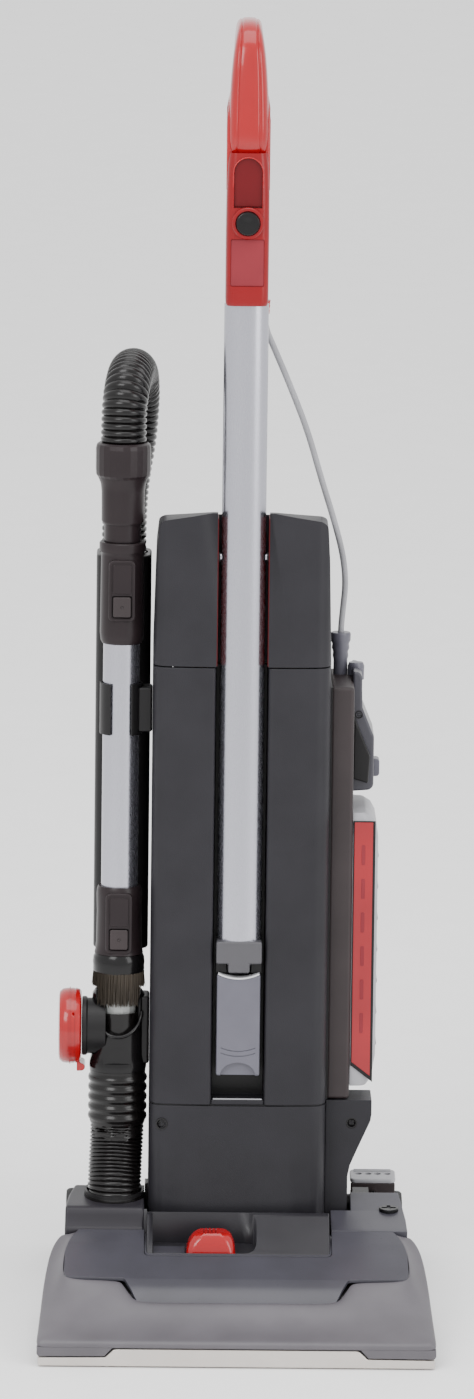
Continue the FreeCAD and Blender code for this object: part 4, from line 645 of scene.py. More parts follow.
def make_latch():
    """Slide that holds the tube: curved upper edge, two fine arcs, thumb hollow below."""
    top = [(19 - 38 * i / 10, 220.6 - 4.2 * (1 - (1 - i / 5) ** 2)) for i in range(11)]
    latch = prism("tube_latch_skin", "y", (-76, -48.5), [(-19, 130), (19, 130)] + top)
    soften(latch, 1.8, 3)
    hollow = prism("hollow", "y", (-80, -70.5), oval(15.2, 11, (0, 131), 40))
    lines = []
    for height in (151, 155.5):
        upper = [(15 - 30 * i / 10, height - 3 * (1 - (1 - i / 5) ** 2)) for i in range(11)]
        lower = [(x, z - 0.9) for x, z in reversed(upper)]
        lines.append(prism("line", "y", (-78, -75.2), upper + lower))
    polish(carve(latch, hollow, *lines), 34, "smoke_plastic", "tube_latch", "tube_latch")
    edge = [(18 - 36 * i / 10, 221.6 - 4.2 * (1 - (1 - i / 5) ** 2)) for i in range(11)]
    cast(prism("latch_edge", "y", (-76.3, -66), edge + [(x, z - 1.5) for x, z in reversed(edge)]), 0.5,
        2, "pale_plastic", "tube_latch", material=MARK_WHITE)


# front and back of the grip's bar round the loop: outer point, inner point, half width
GRIP_LOOP = [((-82.4, 934), (-54.6, 944), 17.6), ((-83.4, 965), (-55, 958), 17.6), ((-83.6, 998),
    (-55, 990), 16.6), ((-82, 1020), (-54.6, 1012), 15.0), ((-77, 1037), (-51, 1021), 13.4),
    ((-66, 1048), (-45, 1025), 11.8), ((-48, 1052), (-38, 1026), 11.4), ((-28, 1052), (-28, 1026), 11.4),
    ((-6, 1051), (-19, 1025), 11.8), ((9, 1042), (-12.6, 1019), 12.4), ((15.4, 1024), (-10, 1006), 13.2),
    ((15.6, 992), (-10, 984), 13.8), ((12, 962), (-14, 968), 14.0), ((0, 941), (-22, 957), 14.4),
    ((-22, 927.4), (-32, 951), 15.4), ((-52, 926.4), (-42, 947.6), 16.4)]
# half of the bar's section, from the middle of its outer face to the middle of its inner face
GRIP_SECTION = [(0.0, 1.0), (0.3, 0.985), (0.5, 0.95), (0.53, 0.87), (0.58, 0.86), (0.61, 0.92),
    (0.74, 0.86), (0.88, 0.68), (0.97, 0.4), (1.0, 0.0), (0.96, -0.45), (0.84, -0.78), (0.6, -0.95),
    (0.3, -1.0), (0.0, -1.0)]


def make_grip():
    """Closed loop swept as a bar with a crowned band between two long grooves."""
    section = GRIP_SECTION + [(-across, depth) for across, depth in reversed(GRIP_SECTION[1:-1])]
    rings = []
    for (oy, oz), (iy, iz), half in GRIP_LOOP:
        ring = []
        for across, depth in section:
            share = (1 + depth) / 2
            ring.append((across * half, iy + (oy - iy) * share, iz + (oz - iz) * share))
        rings.append(ring)
    tools = loft("grip_skin", rings, round_trip=True)
    change = tools.modifiers.new("smooth", "SUBSURF")
    change.levels = 2
    settle(tools)
    polish(tools, 60, "red_plastic", "upright", "handle_grip")
    for side, name in SIDES:
        outline = [(-76, 906), (-46, 906), (-42, 940), (-45, 976)] + arc(-57, 984, 11, 10, 100,
            6) + [(-68, 990), (-75, 968)]
        fin = prism(f"grip_fin_{name}", "x", sorted((side * 13.6, side * 18.8)), outline)
        slots = [prism("slot", "x", sorted((side * 10, side * 24)), round_rect(-68, -60, low, low + tall,
            2)) for low, tall in ((956, 14), (930, 8))]
        soften(fin, 2.2, 4)
        back = UPRIGHT.inverted()
        for vertex in fin.data.vertices:
            local = back @ vertex.co
            local.x -= side * 4.4 * max(0.0, (local.z - 974) / 22) ** 1.5
            vertex.co = UPRIGHT @ local
        polish(carve(fin, *slots), 34, "red_plastic")


def arch(half, low, crown):
    return [(-half, low), (half, low)] + arc(0, crown - half, half, 0, 180, 14)


def make_switch_housing():
    """Switch housing: crowned box with an arched hollow above the switch and a flat panel below."""
    rings = []
    for height, half, front in ((808, 17.6, -82), (811, 18.5, -83.4), (870, 18.6, -84), (905, 18.4, -84),
            (928, 17.6, -83.2), (940, 16.4, -82)):
        side = round_rect(-half, half, front, -38, 7, 6)
        rings.append([(x, y - 1.2 * (1 - (x / half) ** 2) if y < -70 else y, height) for x, y in side])
    housing = loft("switch_housing_skin", rings)
    hollow = prism("hollow", "y", (-90, -81.4), arch(12.4, 893, 936))
    panel = prism("panel", "y", (-90, -82.6), round_rect(-14.6, 14.6, 825, 866, 1.5, 3))
    well = rod("well", "y", SWITCH, 10.9, (-95, -76), 48)
    boss = lathe("boss", "y", SWITCH, [(MID, -80), (13.8, -80), (13.8, -87.6), (12.9, -88.6),
        (MID, -88.6)], 48, closed=False)
    carve(housing, hollow, panel)
    combine(housing, "UNION", boss)
    carve(housing, well)
    polish(housing, 36, "red_plastic", "upright", "switch_housing", material=HOUSING_RED)
    rim_line = arch(13.4, 894, 937)
    inner_line = arch(12.2, 894, 935.8)
    rim_ring = [[(x, y, z) for x, z in line] for line, y in ((rim_line, -84.2), (inner_line, -84.2),
        (inner_line, -81.2), (rim_line, -81.2))]
    cast(loft("switch_rim", rim_ring, round_trip=True), 0.5, 2, "red_plastic", angle=50)
    # deep red sheet on the floor of the arched hollow: painted shade under the grip's overhang
    cast(prism("switch_hollow_shade", "y", (-81.9, -81.2), arch(12.1, 894.2, 935.6)), 0.2, 1, "red_plastic",
        material=DEEP_RED)
    cast(prism("switch_panel", "y", (-83.0, -82.4), round_rect(-14.2, 14.2, 825.4, 865.6, 1.2, 3)), 0.25,
        1, "red_plastic", material=DUSTY_RED)
    polish(lathe("cord_inlet_skin", "y", (0, 858), [(4.1, -26.2), (6.2, -26.2), (7.4, -29), (6.8, -30),
        (8.0, -32), (7.4, -33), (8.8, -35.5), (9, -38.5), (4.1, -38.5)], 40), 50, "black_plastic",
        "upright", "cord_inlet")
    polish(lathe("lead_relief", "z", (16, -43), [(2.9, 797), (4.1, 797), (4.4, 800), (4.0, 801),
        (4.7, 804), (4.4, 805), (5.1, 809), (2.9, 809)], 32), 50, "red_plastic")


def make_switch_button():
    polish(lathe("switch_button_skin", "y", SWITCH, [(MID, -84), (10.4, -84), (10.4, -89.6),
        (9.8, -90.8), (8.6, -91.3), (4.5, -90.6), (MID, -90.3)], 56, closed=False), 40, "switch_black",
        "switch_button", "switch_button")


make_tube()
make_latch()
make_grip()
make_switch_housing()
make_switch_button()


# ---------------------------------------------------------------- side housing and filter cover
def make_side_housing():
    case = box("side_case", (77.8, 98.5), (-45, 60), (SEAM_LOW + 0.4, 470))
    soften(case, 3.4, 4)
    cavity = box("cavity", (81, 110), (-41.5, 56.5), (116, 356))
    polish(carve(case, cavity), 34, "side_plastic", "upright", "side_housing")
    cast(box("side_seam", (77.2, 79.4), (-45.4, 40), (SEAM_LOW, 470)), 0.5, 3, "black_plastic")
    pod_line = [(97.5, 371.5)] + arc(111, 378.5, 6, -90, 0, 5) + [(117, 410)] + arc(109.5, 419, 7.5, 0,
        35, 3)
    pod_line += [(106.5, 446), (106, 462)] + arc(100, 472, 6, 0, 90, 5) + [(97.5, 478)]
    cast(prism("side_pod", "y", (-8, 58), pod_line), 2.6, 4, "hood_plastic", angle=50)
    cast(prism("pod_panel", "y", (-16, -7), [(98.4, 384), (112, 380), (113.5, 404), (99, 440)]), 1.6, 3,
        "black_plastic")
    screw_head("pod_screw", (103.4, 440), -9.2, 3.4)
    foot_line = [(77.8, -22), (94.5, -24)] + arc(94.5, -20, 3.5, -80, 0, 3) + [(98, 34), (100, 44),
        (106, 58)]
    foot_line += [(117.6, 84), (118.5, 90), (118.5, 102.6), (77.8, 102.6)]
    foot = prism("side_foot", "y", (-45, -0.5), foot_line)
    toe = prism("toe", "x", (70, 125), [(-52, -30), (-52, 8), (-43, -12), (-33, -30)])
    soften(foot, 3.0, 4, 34)
    sink = rod("sink", "y", FOOT_SCREW, 5, (-47, -42.4), 28)
    polish(carve(foot, toe, sink), 34, "charcoal_shell")
    screw_head("foot_screw", FOOT_SCREW, -44.2, 4.8)
    cast(prism("side_foot_rear", "y", (-1, 45), [(77.8, -24), (98, -24), (98, 102.6), (77.8, 102.6)]),
        3.0, 3, "side_plastic")
    polish(lathe("side_trunnion", "x", (0, 0), [(MID, 96), (8, 96), (8, 116), (7, 117), (MID, 117)], 40,
        closed=False), 40, "black_plastic")
    polish(lathe("pod_cap", "z", (101, 26), [(MID, 466), (7.2, 466), (7.4, 478), (6.2, 481),
        (MID, 481.5)], 36, closed=False), 40, "smoke_plastic")


def cover_line():
    """Plan of the filter cover: flat front corner, full round outer side."""
    line = [(98.8, -40)] + arc(110, -28, 11.5, -90, -14, 6)
    return line + arc(111.5, 46, 10, 0, 90, 6) + [(98.8, 58)]


def make_filter_cover():
    rings = []
    for height, draw_in in ((114, 9), (119, 5), (128, 2.6), (142, 0), (336, 0), (347, 2.2), (354, 6.5),
            (357.6, 13)):
        rings.append([(max(98.8, 98.8 + (x - 98.8) * (1 - draw_in / 26)),
            y + (draw_in * 0.25 if y < 0 else -draw_in * 0.25), height) for x, y in cover_line()])
    cover = loft("filter_cover_skin", rings)
    hollow = box("hollow", (98, 116), (-30, 52), (120, 350))
    barrel = lathe("barrel", "z", (102.2, 61.5), [(1.9, 140), (3.4, 140), (3.4, 330), (1.9, 330)], 28)
    carve(cover, hollow)
    polish(cover, 36, "pale_plastic", "filter_cover", "filter_cover")
    polish(barrel, 40, "pale_plastic", "filter_cover")
    border = [(99.2, 133), (118.6, 118), (118.6, 351), (99.2, 351)]
    label = [(100.2, 136), (116.4, 123.6), (116.4, 350), (100.2, 350)]
    cast(prism("filter_border", "y", (-40.5, -38.6), border), 0.4, 2, "black_plastic", "filter_cover")
    cast(prism("filter_panel", "y", (-41.0, -40.0), label), 0.3, 2, "red_plastic", "filter_cover",
        material=LABEL_RED)
    for i in range(6):
        high = 330 - 30 * i
        cast(prism(f"filter_dash_{i}", "y", (-41.3, -40.6), round_rect(106.6, 109.8, high - 18, high, 1,
            2)), 0.2, 1, "red_plastic", "filter_cover", material=DUSTY_RED)
    for i in range(7):
        low = 146 + 28 * i
        cast(prism(f"filter_rib_{i}", "y", (-20, 40), [(120.6, low), (121.9, low + 1), (122.3, low + 3),
            (121.9, low + 5), (120.6, low + 6)]), 0.5, 2, "pale_plastic", "filter_cover")
    cast(prism("filter_latch_skin", "y", (20, 36), [(117.3, 380)] + arc(120, 383, 2.8, -90, 0, 4)
        + arc(120, 393, 2.8, 0, 90, 4) + [(117.3, 396)]), 1.0, 2, "smoke_plastic", "filter_latch",
        "filter_latch", angle=50)


make_side_housing()
make_filter_cover()


# ---------------------------------------------------------------- wand side
WAND = (-105.0, -38.0)
PORT = (WAND[1], 166)           # axis of the clean-out port in the elbow
SCOOP = 181                     # middle of the elbow's open scoop


def turned(name, slot, body, profile, *nodes, steps=56, angle=40, material=None, centre=WAND):
    """A ring round the wand's axis."""
    ring = lathe(name, "z", centre, profile, steps)
    return polish(ring, angle, slot, body, *nodes, material=material)


def make_wand():
    turned("wand_tube_skin", "tube_metal", "wand", [(14.7, 196), (15.6, 196), (16, 197), (16, 519.5),
        (14.7, 519.5)], "wand_tube")
    facets = [(14.2, 160), (14.8, 160), (15.6, 170), (15.9, 186), (16.2, 196), (16.2, 199.5),
        (14.2, 199.5)]
    turned("wand_tip", "tube_metal", "wand", facets, steps=14, angle=20, material=TIP_GREY)
    turned("wand_spigot", "wand_plastic", "wand", [(13.4, 152.2), (14.1, 152.2), (14.4, 161),
        (13.4, 161)])
    collar_lower = turned("collar_lower_skin", "wand_plastic", "wand", [(16.1, 232.2), (21.4, 232.2),
        (20.6, 236), (20, 242), (19.6, 270), (20, 284), (19.6, 289), (18.4, 292), (16.1, 292)],
        "collar_lower")
    collar_upper = turned("collar_upper_skin", "wand_plastic", "wand", [(16.1, 507), (17.2, 507),
        (18.4, 509.5), (19.2, 516), (19, 530), (18.6, 584), (18.8, 587), (20.2, 588), (20.2, 594.8),
        (19.4, 596), (16.1, 596)], "collar_upper")
    for name, radius, low, collar in (("upper", 19.0, 532.0, collar_upper), ("lower", 20.0, 238.0,
            collar_lower)):
        front = WAND[1] - radius
        pocket = box("pocket", (WAND[0] - 8.5, WAND[0] + 8.5), (front - 4, front + 2.4),
            (low - 0.5, low + 18.5))
        smooth(carve(collar, pocket), 34)
        plate = prism(f"collar_{name}_panel", "y", (front - 1.4, WAND[1] - 12),
            round_rect(WAND[0] - 11.6, WAND[0] + 11.6, low - 4, low + 50, 4.5, 5))
        frame_cut = prism("cut", "y", (front - 4, front - 0.5), round_rect(WAND[0] - 9.4, WAND[0] + 9.4,
            low - 2, low + 47.6, 3, 4))
        raised = prism(f"collar_{name}_inset", "y", (front - 1.1, front + 2), round_rect(WAND[0] - 8.2,
            WAND[0] + 8.2, low + 20.4, low + 46, 2.4, 4))
        soften(plate, 1.2, 3)
        seat = prism("seat", "y", (front - 4, front + 2.4), round_rect(WAND[0] - 8.6, WAND[0] + 8.6,
            low - 0.6, low + 18.6, 1.4, 3))
        polish(carve(plate, frame_cut, seat), 34, "wand_plastic", "wand")
        cast(raised, 0.6, 2, "wand_plastic", "wand")
        node = f"wand_button_{name}"
        button = prism(node + "_skin", "y", (front - 2.6, front - 0.1), round_rect(WAND[0] - 7.9,
            WAND[0] + 7.9, low + 0.1, low + 17.9, 1.6, 3))
        dimple = rod("dimple", "y", (WAND[0], low + 9), 1.5, (front - 4, front - 1.9), 20)
        soften(button, 1.0, 3)
        polish(carve(button, dimple), 34, "wand_plastic", node, node, material=MATERIALS["side_plastic"])


def strand(tools, root, tip, thick, thin, rooted):
    """Adds a three-sided hair; a rooted one stays open where it goes into its holder."""
    spokes = [Vector((math.cos(a), math.sin(a), 0)) for a in (0, 2.09, 4.19)]
    ring = [tools.verts.new(root + spoke * thick) for spoke in spokes]
    end = [tools.verts.new(tip + spoke * thin) for spoke in spokes]
    for k in range(3):
        tools.faces.new((ring[k], ring[(k + 1) % 3], end[(k + 1) % 3], end[k]))
    if not rooted:
        tools.faces.new(ring)
    tools.faces.new(end)


def make_dusting_brush():
    """Glossy ring with a skirt of hair round the wand."""
    turned("brush_ring", "switch_black", "wand", [(16.1, 215), (21.6, 215), (22.6, 217.5), (22.4, 221),
        (22.8, 224), (22.2, 229), (20.6, 231.9), (16.1, 231.9)], "dusting_brush")
    random.seed(5)
    tools = bmesh.new()
    for _ in range(1500):
        angle = random.uniform(0, 2 * math.pi)
        reach = random.uniform(17.4, 22.2)
        in_scoop = math.sin(angle) < -0.55
        length = random.uniform(22, 30) if in_scoop else random.uniform(11, 14.5)
        flare = reach + random.uniform(-0.8, 0.8 if in_scoop else 1.6)
        turn = angle + random.uniform(-0.06, 0.06)
        thick = random.uniform(0.35, 0.6)
        top = Vector((WAND[0] + reach * math.cos(angle), WAND[1] + reach * math.sin(angle), 216))
        tip = Vector((WAND[0] + flare * math.cos(turn), WAND[1] + flare * math.sin(turn), 216 - length))
        strand(tools, top, tip, thick, thick * 0.5, False)
    dress(keep_mesh("brush_hair", tools, UPRIGHT), "bristle", "wand")


def make_wand_handle():
    turned("slim_neck", "wand_plastic", "wand_handle", [(12.9, 300), (14.2, 300), (14.2, 596.4),
        (15.8, 596.4), (16, 598), (16, 612), (12.9, 612)], "wand_handle")
    turned("grip_neck", "wand_plastic", "wand_handle", [(12.9, 612), (17.2, 612), (18.6, 614.5),
        (18.8, 640), (19.6, 647), (21.8, 652.4), (12.9, 652.4)])
    turned("hose_cuff", "wand_plastic", "wand_handle", [(12.9, 652.4), (21.8, 652.4), (23.6, 655),
        (24, 660), (24, 678), (23.2, 681.5), (21, 683), (12.9, 683)], steps=24, angle=12)


def make_elbow():
    """Socket under the wand with its open scoop, the side port and the cap."""
    body = lathe("elbow_skin", "z", WAND, [(19, 128), (24.6, 128), (25.2, 131), (24.6, 136), (23.4, 142),
        (23.2, 190), (22.6, 196), (20.4, 199.4), (19, 199.4)], 64)
    scoop = prism("scoop", "y", (WAND[1] - 40, WAND[1] - 4), arc(WAND[0], SCOOP, 19.5, 180, 360, 16)
        + [(WAND[0] + 19.5, 215), (WAND[0] - 19.5, 215)])
    arch_cut = prism("arch_cut", "y", (WAND[1] - 40, WAND[1] - 21.6), arc(WAND[0], 136, 15, 0, 180, 14))
    carve(body, scoop, arch_cut)
    polish(body, 36, "switch_black", "upright", "elbow")
    rim_points = arc(WAND[0], SCOOP, 20.6, 178, 362, 20)
    rings = []
    for across, height in rim_points:
        depth = math.sqrt(max(0.0, 23.4 ** 2 - (across - WAND[0]) ** 2))
        middle = Vector((across, WAND[1] - depth, height))
        outward = Vector((across - WAND[0], 0, height - SCOOP)).normalized()
        rings.append([tuple(middle + outward * 1.7 * math.cos(a) + Vector((0, 1, 0)) * 1.7 * math.sin(a))
            for a in [2 * math.pi * k / 10 for k in range(10)]])
    polish(loft("scoop_rim", rings), 60, "switch_black")
    polish(lathe("elbow_liner", "z", WAND, [(18.4, 129), (18.9, 129), (18.9, 180), (18.4, 180)], 48), 40,
        "hose_plastic")
    polish(lathe("port_skin", "x", PORT, [(19.6, -136.7), (25, -136.7), (26, -135.8), (26, -133),
        (24.6, -131.6), (24.6, -116), (19.6, -116)], 56), 36, "black_plastic")
    cast(box("elbow_mount", (-88, -77.7), (-48, -16), (134, 194)), 2.4, 3, "black_plastic")
    cap = lathe("cleanout_cap_skin", "x", PORT, [(MID, -157), (26.5, -157), (30, -156.2), (32.4, -153.4),
        (33, -149.6), (33, -141.5), (32.2, -138.6), (30, -137.2), (25.2, -137.2), (25.2, -151.5),
        (MID, -151.5)], 64, closed=False)
    bands = []
    for across in (-143.2, -147.6):
        bands.append(lathe("band", "x", PORT, [(32.5, across), (34, across), (34, across + 0.8),
            (32.5, across + 0.8)], 64))
    carve(cap, *bands)
    polish(cap, 34, "red_plastic", "cleanout_cap", "cleanout_cap")
    cast(prism("cap_tab", "y", (-51, -25), [(-141, 127.8)] + arc(-137, 131.3, 3.4, -90, 90, 6)
        + [(-141, 138)]), 0.8, 2, "red_plastic", "cleanout_cap", angle=50)


def make_ribbed_cuff():
    profile = [(20.5, 80), (23.6, 80), (24.4, 82)]
    for i in range(5):
        low = 83 + 8.6 * i
        profile += [(24.2, low), (25.6, low + 1.4), (26, low + 3.2), (25.6, low + 5), (24.2, low + 6.4)]
    profile += [(24.6, 127.8), (20.5, 127.8)]
    turned("ribbed_cuff_skin", "hose_plastic", "upright", profile, "ribbed_cuff", angle=60)


def make_clip_and_guide():
    outline = []
    for radius, sweep in ((18.8, 300), (16.7, -300)):
        for i in range(29):
            turn = math.radians(sweep * (i / 28 - 0.5)) + math.pi / 2
            outline.append((WAND[0] + radius * math.cos(turn), WAND[1] + radius * math.sin(turn)))
    cast(prism("wand_clip_skin", "z", (427, 472), outline), 0.5, 2, "black_plastic", "upright",
        "wand_clip", angle=50)
    cast(box("clip_foot", (-90, -77.7), (-50, -26), (430, 469)), 2, 3, "black_plastic")
    guide = prism("hose_guide_skin", "z", (220, 572), round_rect(-128, -79.5, 34, 90, 12, 7))
    bore = rod("bore", "z", GUIDE, 21.3, (232, 580), 56)
    soften(guide, 2.2, 3, 40)
    polish(carve(guide, bore), 34, "black_plastic", "upright", "hose_guide")
    polish(lathe("cord_grommet_skin", "z", GROMMET, [(3.2, 496), (3.2, 507), (8.2, 507), (9, 505.6),
        (8.8, 500), (7.4, 497), (7.8, 493), (6.6, 490), (7, 486), (6.2, 483), (6.2, 470), (MID, 470),
        (MID, 496)], 40), 45, "smoke_plastic", "upright", "cord_grommet")


make_wand()
make_dusting_brush()
make_wand_handle()
make_elbow()
make_ribbed_cuff()
make_clip_and_guide()


# ---------------------------------------------------------------- base
WHEEL = (80, 30)                # axes across the machine: distance behind the recline axis, height
ROLLER = (-98, 11.2)
ROLL = (-160, 24)
TREAD = 30.7                    # radius on which the tread grooves of the rear wheels lie
DECK_SCREW = (134.5, -52)
BAG_MOUTH = (0, 25)


def hood_height(along):
    """Height of the hood's surface at a distance in front of the recline axis."""
    knots = [(96, 79), (115, 73.6), (134, 67.4), (150, 61.8), (166, 56), (176, 51.4), (183, 46.6),
        (188, 42)]
    for (near, high), (far, low) in zip(knots, knots[1:]):
        if near <= -along <= far:
            return high + (low - high) * (-along - near) / (far - near)
    return knots[0][1] if -along < 96 else knots[-1][1]


def make_hood():
    """Smooth front cover with a stepped front edge and a notch round the console."""
    steps = [-96 - 92 * i / 24 for i in range(25)]
    top = [(y, hood_height(y)) for y in steps]
    under = [(y, hood_height(y) - 3) for y in reversed(steps[:-2])]
    skin = prism("hood_skin", "x", (-151, 151), top + [(-186.4, 41.2)] + under, place=BASE)
    half = [(137.5, -96.3), (142, -104), (146.4, -116), (149, -130)] + arc(142.6, -156, 7.2, 0, -90, 6)
    half += [(101, -164)] + arc(99.5, -167.5, 3.4, 90, 160, 3) + [(88.5, -183)] + arc(83.5, -184.4, 3.6,
        -20, -90, 3)
    plan = prism("plan", "z", (20, 110), mirrored(half), place=BASE)
    notch = prism("notch", "z", (20, 120), round_rect(-80.2, 83.4, -134.4, -60, 5, 4), place=BASE)
    combine(skin, "INTERSECT", plan)
    carve(skin, notch)
    soften(skin, 1.3, 3, 38)
    polish(skin, 30, "hood_plastic", "base", "hood")
    line = round_rect(-79.8, 83.0, -134.0, -60, 4.6, 5)
    inner = round_rect(-78.4, 81.6, -132.6, -60, 3.6, 5)
    rings = []
    for outline, lift in ((line, 0.9), (inner, 0.9), (inner, -4), (line, -4)):
        rings.append([(x, y, hood_height(min(y, -96)) + lift) for x, y in outline])
    rim = loft("console_rim", rings, round_trip=True, place=BASE)
    trim = box("trim", (-100, 100), (-95, -40), (40, 130), place=BASE)
    polish(carve(rim, trim), 40, "hood_plastic", "base")


def bumper_stations():
    """Stations round the bumper: outer point, inner point, inner height, outer height."""
    stations = []
    for out, inner, high, edge in (((150, -96.2), (137.8, -96.2), 78.6, 76.5), ((156.5, -102),
            (141.8, -104), 76.2, 72), ((161, -110), (145.2, -113), 73.4, 66.5), ((164.6, -124),
            (149, -128), 69, 58), ((167.4, -146), (150.2, -148), 62, 47), ((169, -168), (149.6, -158.4),
            58, 38.5), ((170.4, -196), (143, -163.6), 56.2, 32), ((171.8, -222), (120, -164.2), 56, 27),
            ((172.5, -236), (101, -165), 55.6, 24), ((170.6, -239.4), (98.2, -168), 54.6, 23),
            ((166, -240), (91, -182), 47.4, 22.6), ((150, -240), (85, -188.2), 43.6, 22.4), ((90, -240),
            (55, -188.2), 43.6, 22.4), ((30, -240), (20, -188.2), 43.6, 22.4)):
        stations.append((out, inner, high, edge))
    left = [((-o[0], o[1]), (-i[0], i[1]), h, e) for o, i, h, e in reversed(stations)]
    return stations + left


def make_bumper():
    rings = []
    for (ox, oy), (ix, iy), high, edge in bumper_stations():
        drop = high - edge
        falls = ((0.12, 0.10), (0.3, 0.38), (0.5, 0.62), (0.7, 0.8), (0.86, 0.9), (0.96, 0.97))
        slope = [(ix + (ox - ix) * share, iy + (oy - iy) * share, high - drop * fall) for share,
            fall in falls]
        under = [(x, y, max(17.2, z - 4.5)) for x, y, z in reversed(slope)]
        ring = [(ix, iy, high - 4.5), (ix, iy, high)] + slope
        ring += [(ox, oy, edge - 1.6), (ox, oy, 17.6), (ox + (ix - ox) * 0.04, oy + (iy - oy) * 0.04,
            17)] + under
        rings.append(ring)
    bumper = loft("bumper_skin", rings, place=BASE)
    change = bumper.modifiers.new("smooth", "SUBSURF")
    change.levels = 2
    change.render_levels = 2
    change.boundary_smooth = "PRESERVE_CORNERS"
    settle(bumper)
    polish(bumper, 50, "bumper_plastic", "base", "bumper")
    cast(prism("nozzle_guard_skin", "y", (-240, -231.6), [(-171, 1.2), (171, 1.2), (171, 8.6),
        (113, 9.2), (106, 16), (103, 16.6), (-103, 16.6), (-106, 16), (-113, 9.2), (-171, 8.6)],
        place=BASE), 1.1, 3, "nozzle_metal", "base", "nozzle_guard")
    cast(box("nozzle_gasket", (-168, 168), (-236.5, -200), (10, 17.4), place=BASE), 1, 3,
        "black_plastic", "base")


def make_bumper_toes():
    """Lower corners of the bumper, beside the raised middle of the bright strip."""
    for side, name in SIDES:
        outline = [(side * 106.4, 18), (side * 113.6, 10), (side * 170.6, 9.6), (side * 172, 12),
            (side * 172, 18)]
        cast(prism(f"bumper_toe_{name}", "y", (-239.7, -231.8), outline, place=BASE), 0.8, 2,
            "bumper_plastic", "base")


def make_rear_hoods():
    left_top = [(-95.8, 79.2), (-93, 80.6), (-90.4, 85), (-88.6, 90), (-87, 93.4), (-84.4, 95.4),
        (-81, 96), (-20, 96)]
    left_line = [(-95.8, 62.4)] + left_top + [(-20, 62.4)]
    hole = rod("hole", "z", SOCKET, 26.4, (40, 130), 56, place=BASE)
    plan = [(-80.5, -110), (-80.5, -10), (-141, -10), (-142, -20), (-146.4, -46), (-149, -72),
        (-150, -96), (-150, -110)]
    inner_left = [(-92, 50), (-92, 80), (-85, 90), (-82, 93), (-23, 93), (-23, 50)]
    deck = prism("rear_hood_left_skin", "x", (-152, -80.5), left_line, place=BASE)
    combine(deck, "INTERSECT", prism("plan", "z", (0, 140), plan, place=BASE))
    soften(deck, 2.4, 4, 34)
    carve(deck, prism("inner", "x", (-146, -70), inner_left, place=BASE), hole)
    # the left deck is painted darker than the right one: painted shade
    polish(deck, 34, "hood_plastic", "base", "rear_hood_left", material=DECK_SHADE)
    cast(box("skirt_left", (-149.6, -147.2), (-95.4, -22), (20, 64), place=BASE), 0.8, 3, "hood_plastic",
        "base")
    polish(lathe("socket_lip", "z", SOCKET, [(24.4, 88), (26, 88), (26.2, 98), (25.4, 101.6),
        (24.4, 101.6)], 56, place=BASE), 40, "hose_plastic", "base")
    right_line = [(-95.8, 62.4), (-95.8, 79.2), (-90, 80.2), (-54, 84.7), (-26, 90), (-20, 91),
        (-20, 62.4)]
    inner_right = [(-92, 50), (-92, 76), (-54, 81), (-24, 87), (-24, 50)]
    plan = [(83.3, -110), (150, -110), (150, -96), (149, -72), (146.6, -46), (143.4, -20), (143, -10),
        (83.3, -10)]
    slope = prism("rear_hood_right_skin", "x", (83.2, 152), right_line, place=BASE)
    combine(slope, "INTERSECT", prism("plan", "z", (0, 140), plan, place=BASE))
    carve(slope, box("notch", (60, 101), (-53.4, 0), (40, 130), place=BASE))
    soften(slope, 2.0, 4, 40)
    carve(slope, prism("inner", "x", (80, 146.6), inner_right, place=BASE))
    polish(slope, 34, "hood_plastic", "base", "rear_hood_right")
    cast(box("skirt_right", (147.2, 149.6), (-95.4, -22), (20, 64), place=BASE), 0.8, 3, "hood_plastic",
        "base")
    screw = lathe("deck_screw", "z", DECK_SCREW, [(MID, 84.4), (8.6, 84.4), (8.6, 86.6), (7.8, 87.2),
        (MID, 87.2)], 40, closed=False, place=BASE)
    arms = [prism("arm", "z", (86.2, 89), round_rect(DECK_SCREW[0] - a, DECK_SCREW[0] + a,
        DECK_SCREW[1] - b, DECK_SCREW[1] + b, 1, 3), place=BASE) for a, b in ((6.4, 1.6), (1.6, 6.4))]
    polish(carve(screw, *arms), 34, "motor_metal", "base", material=SCREW_STEEL)


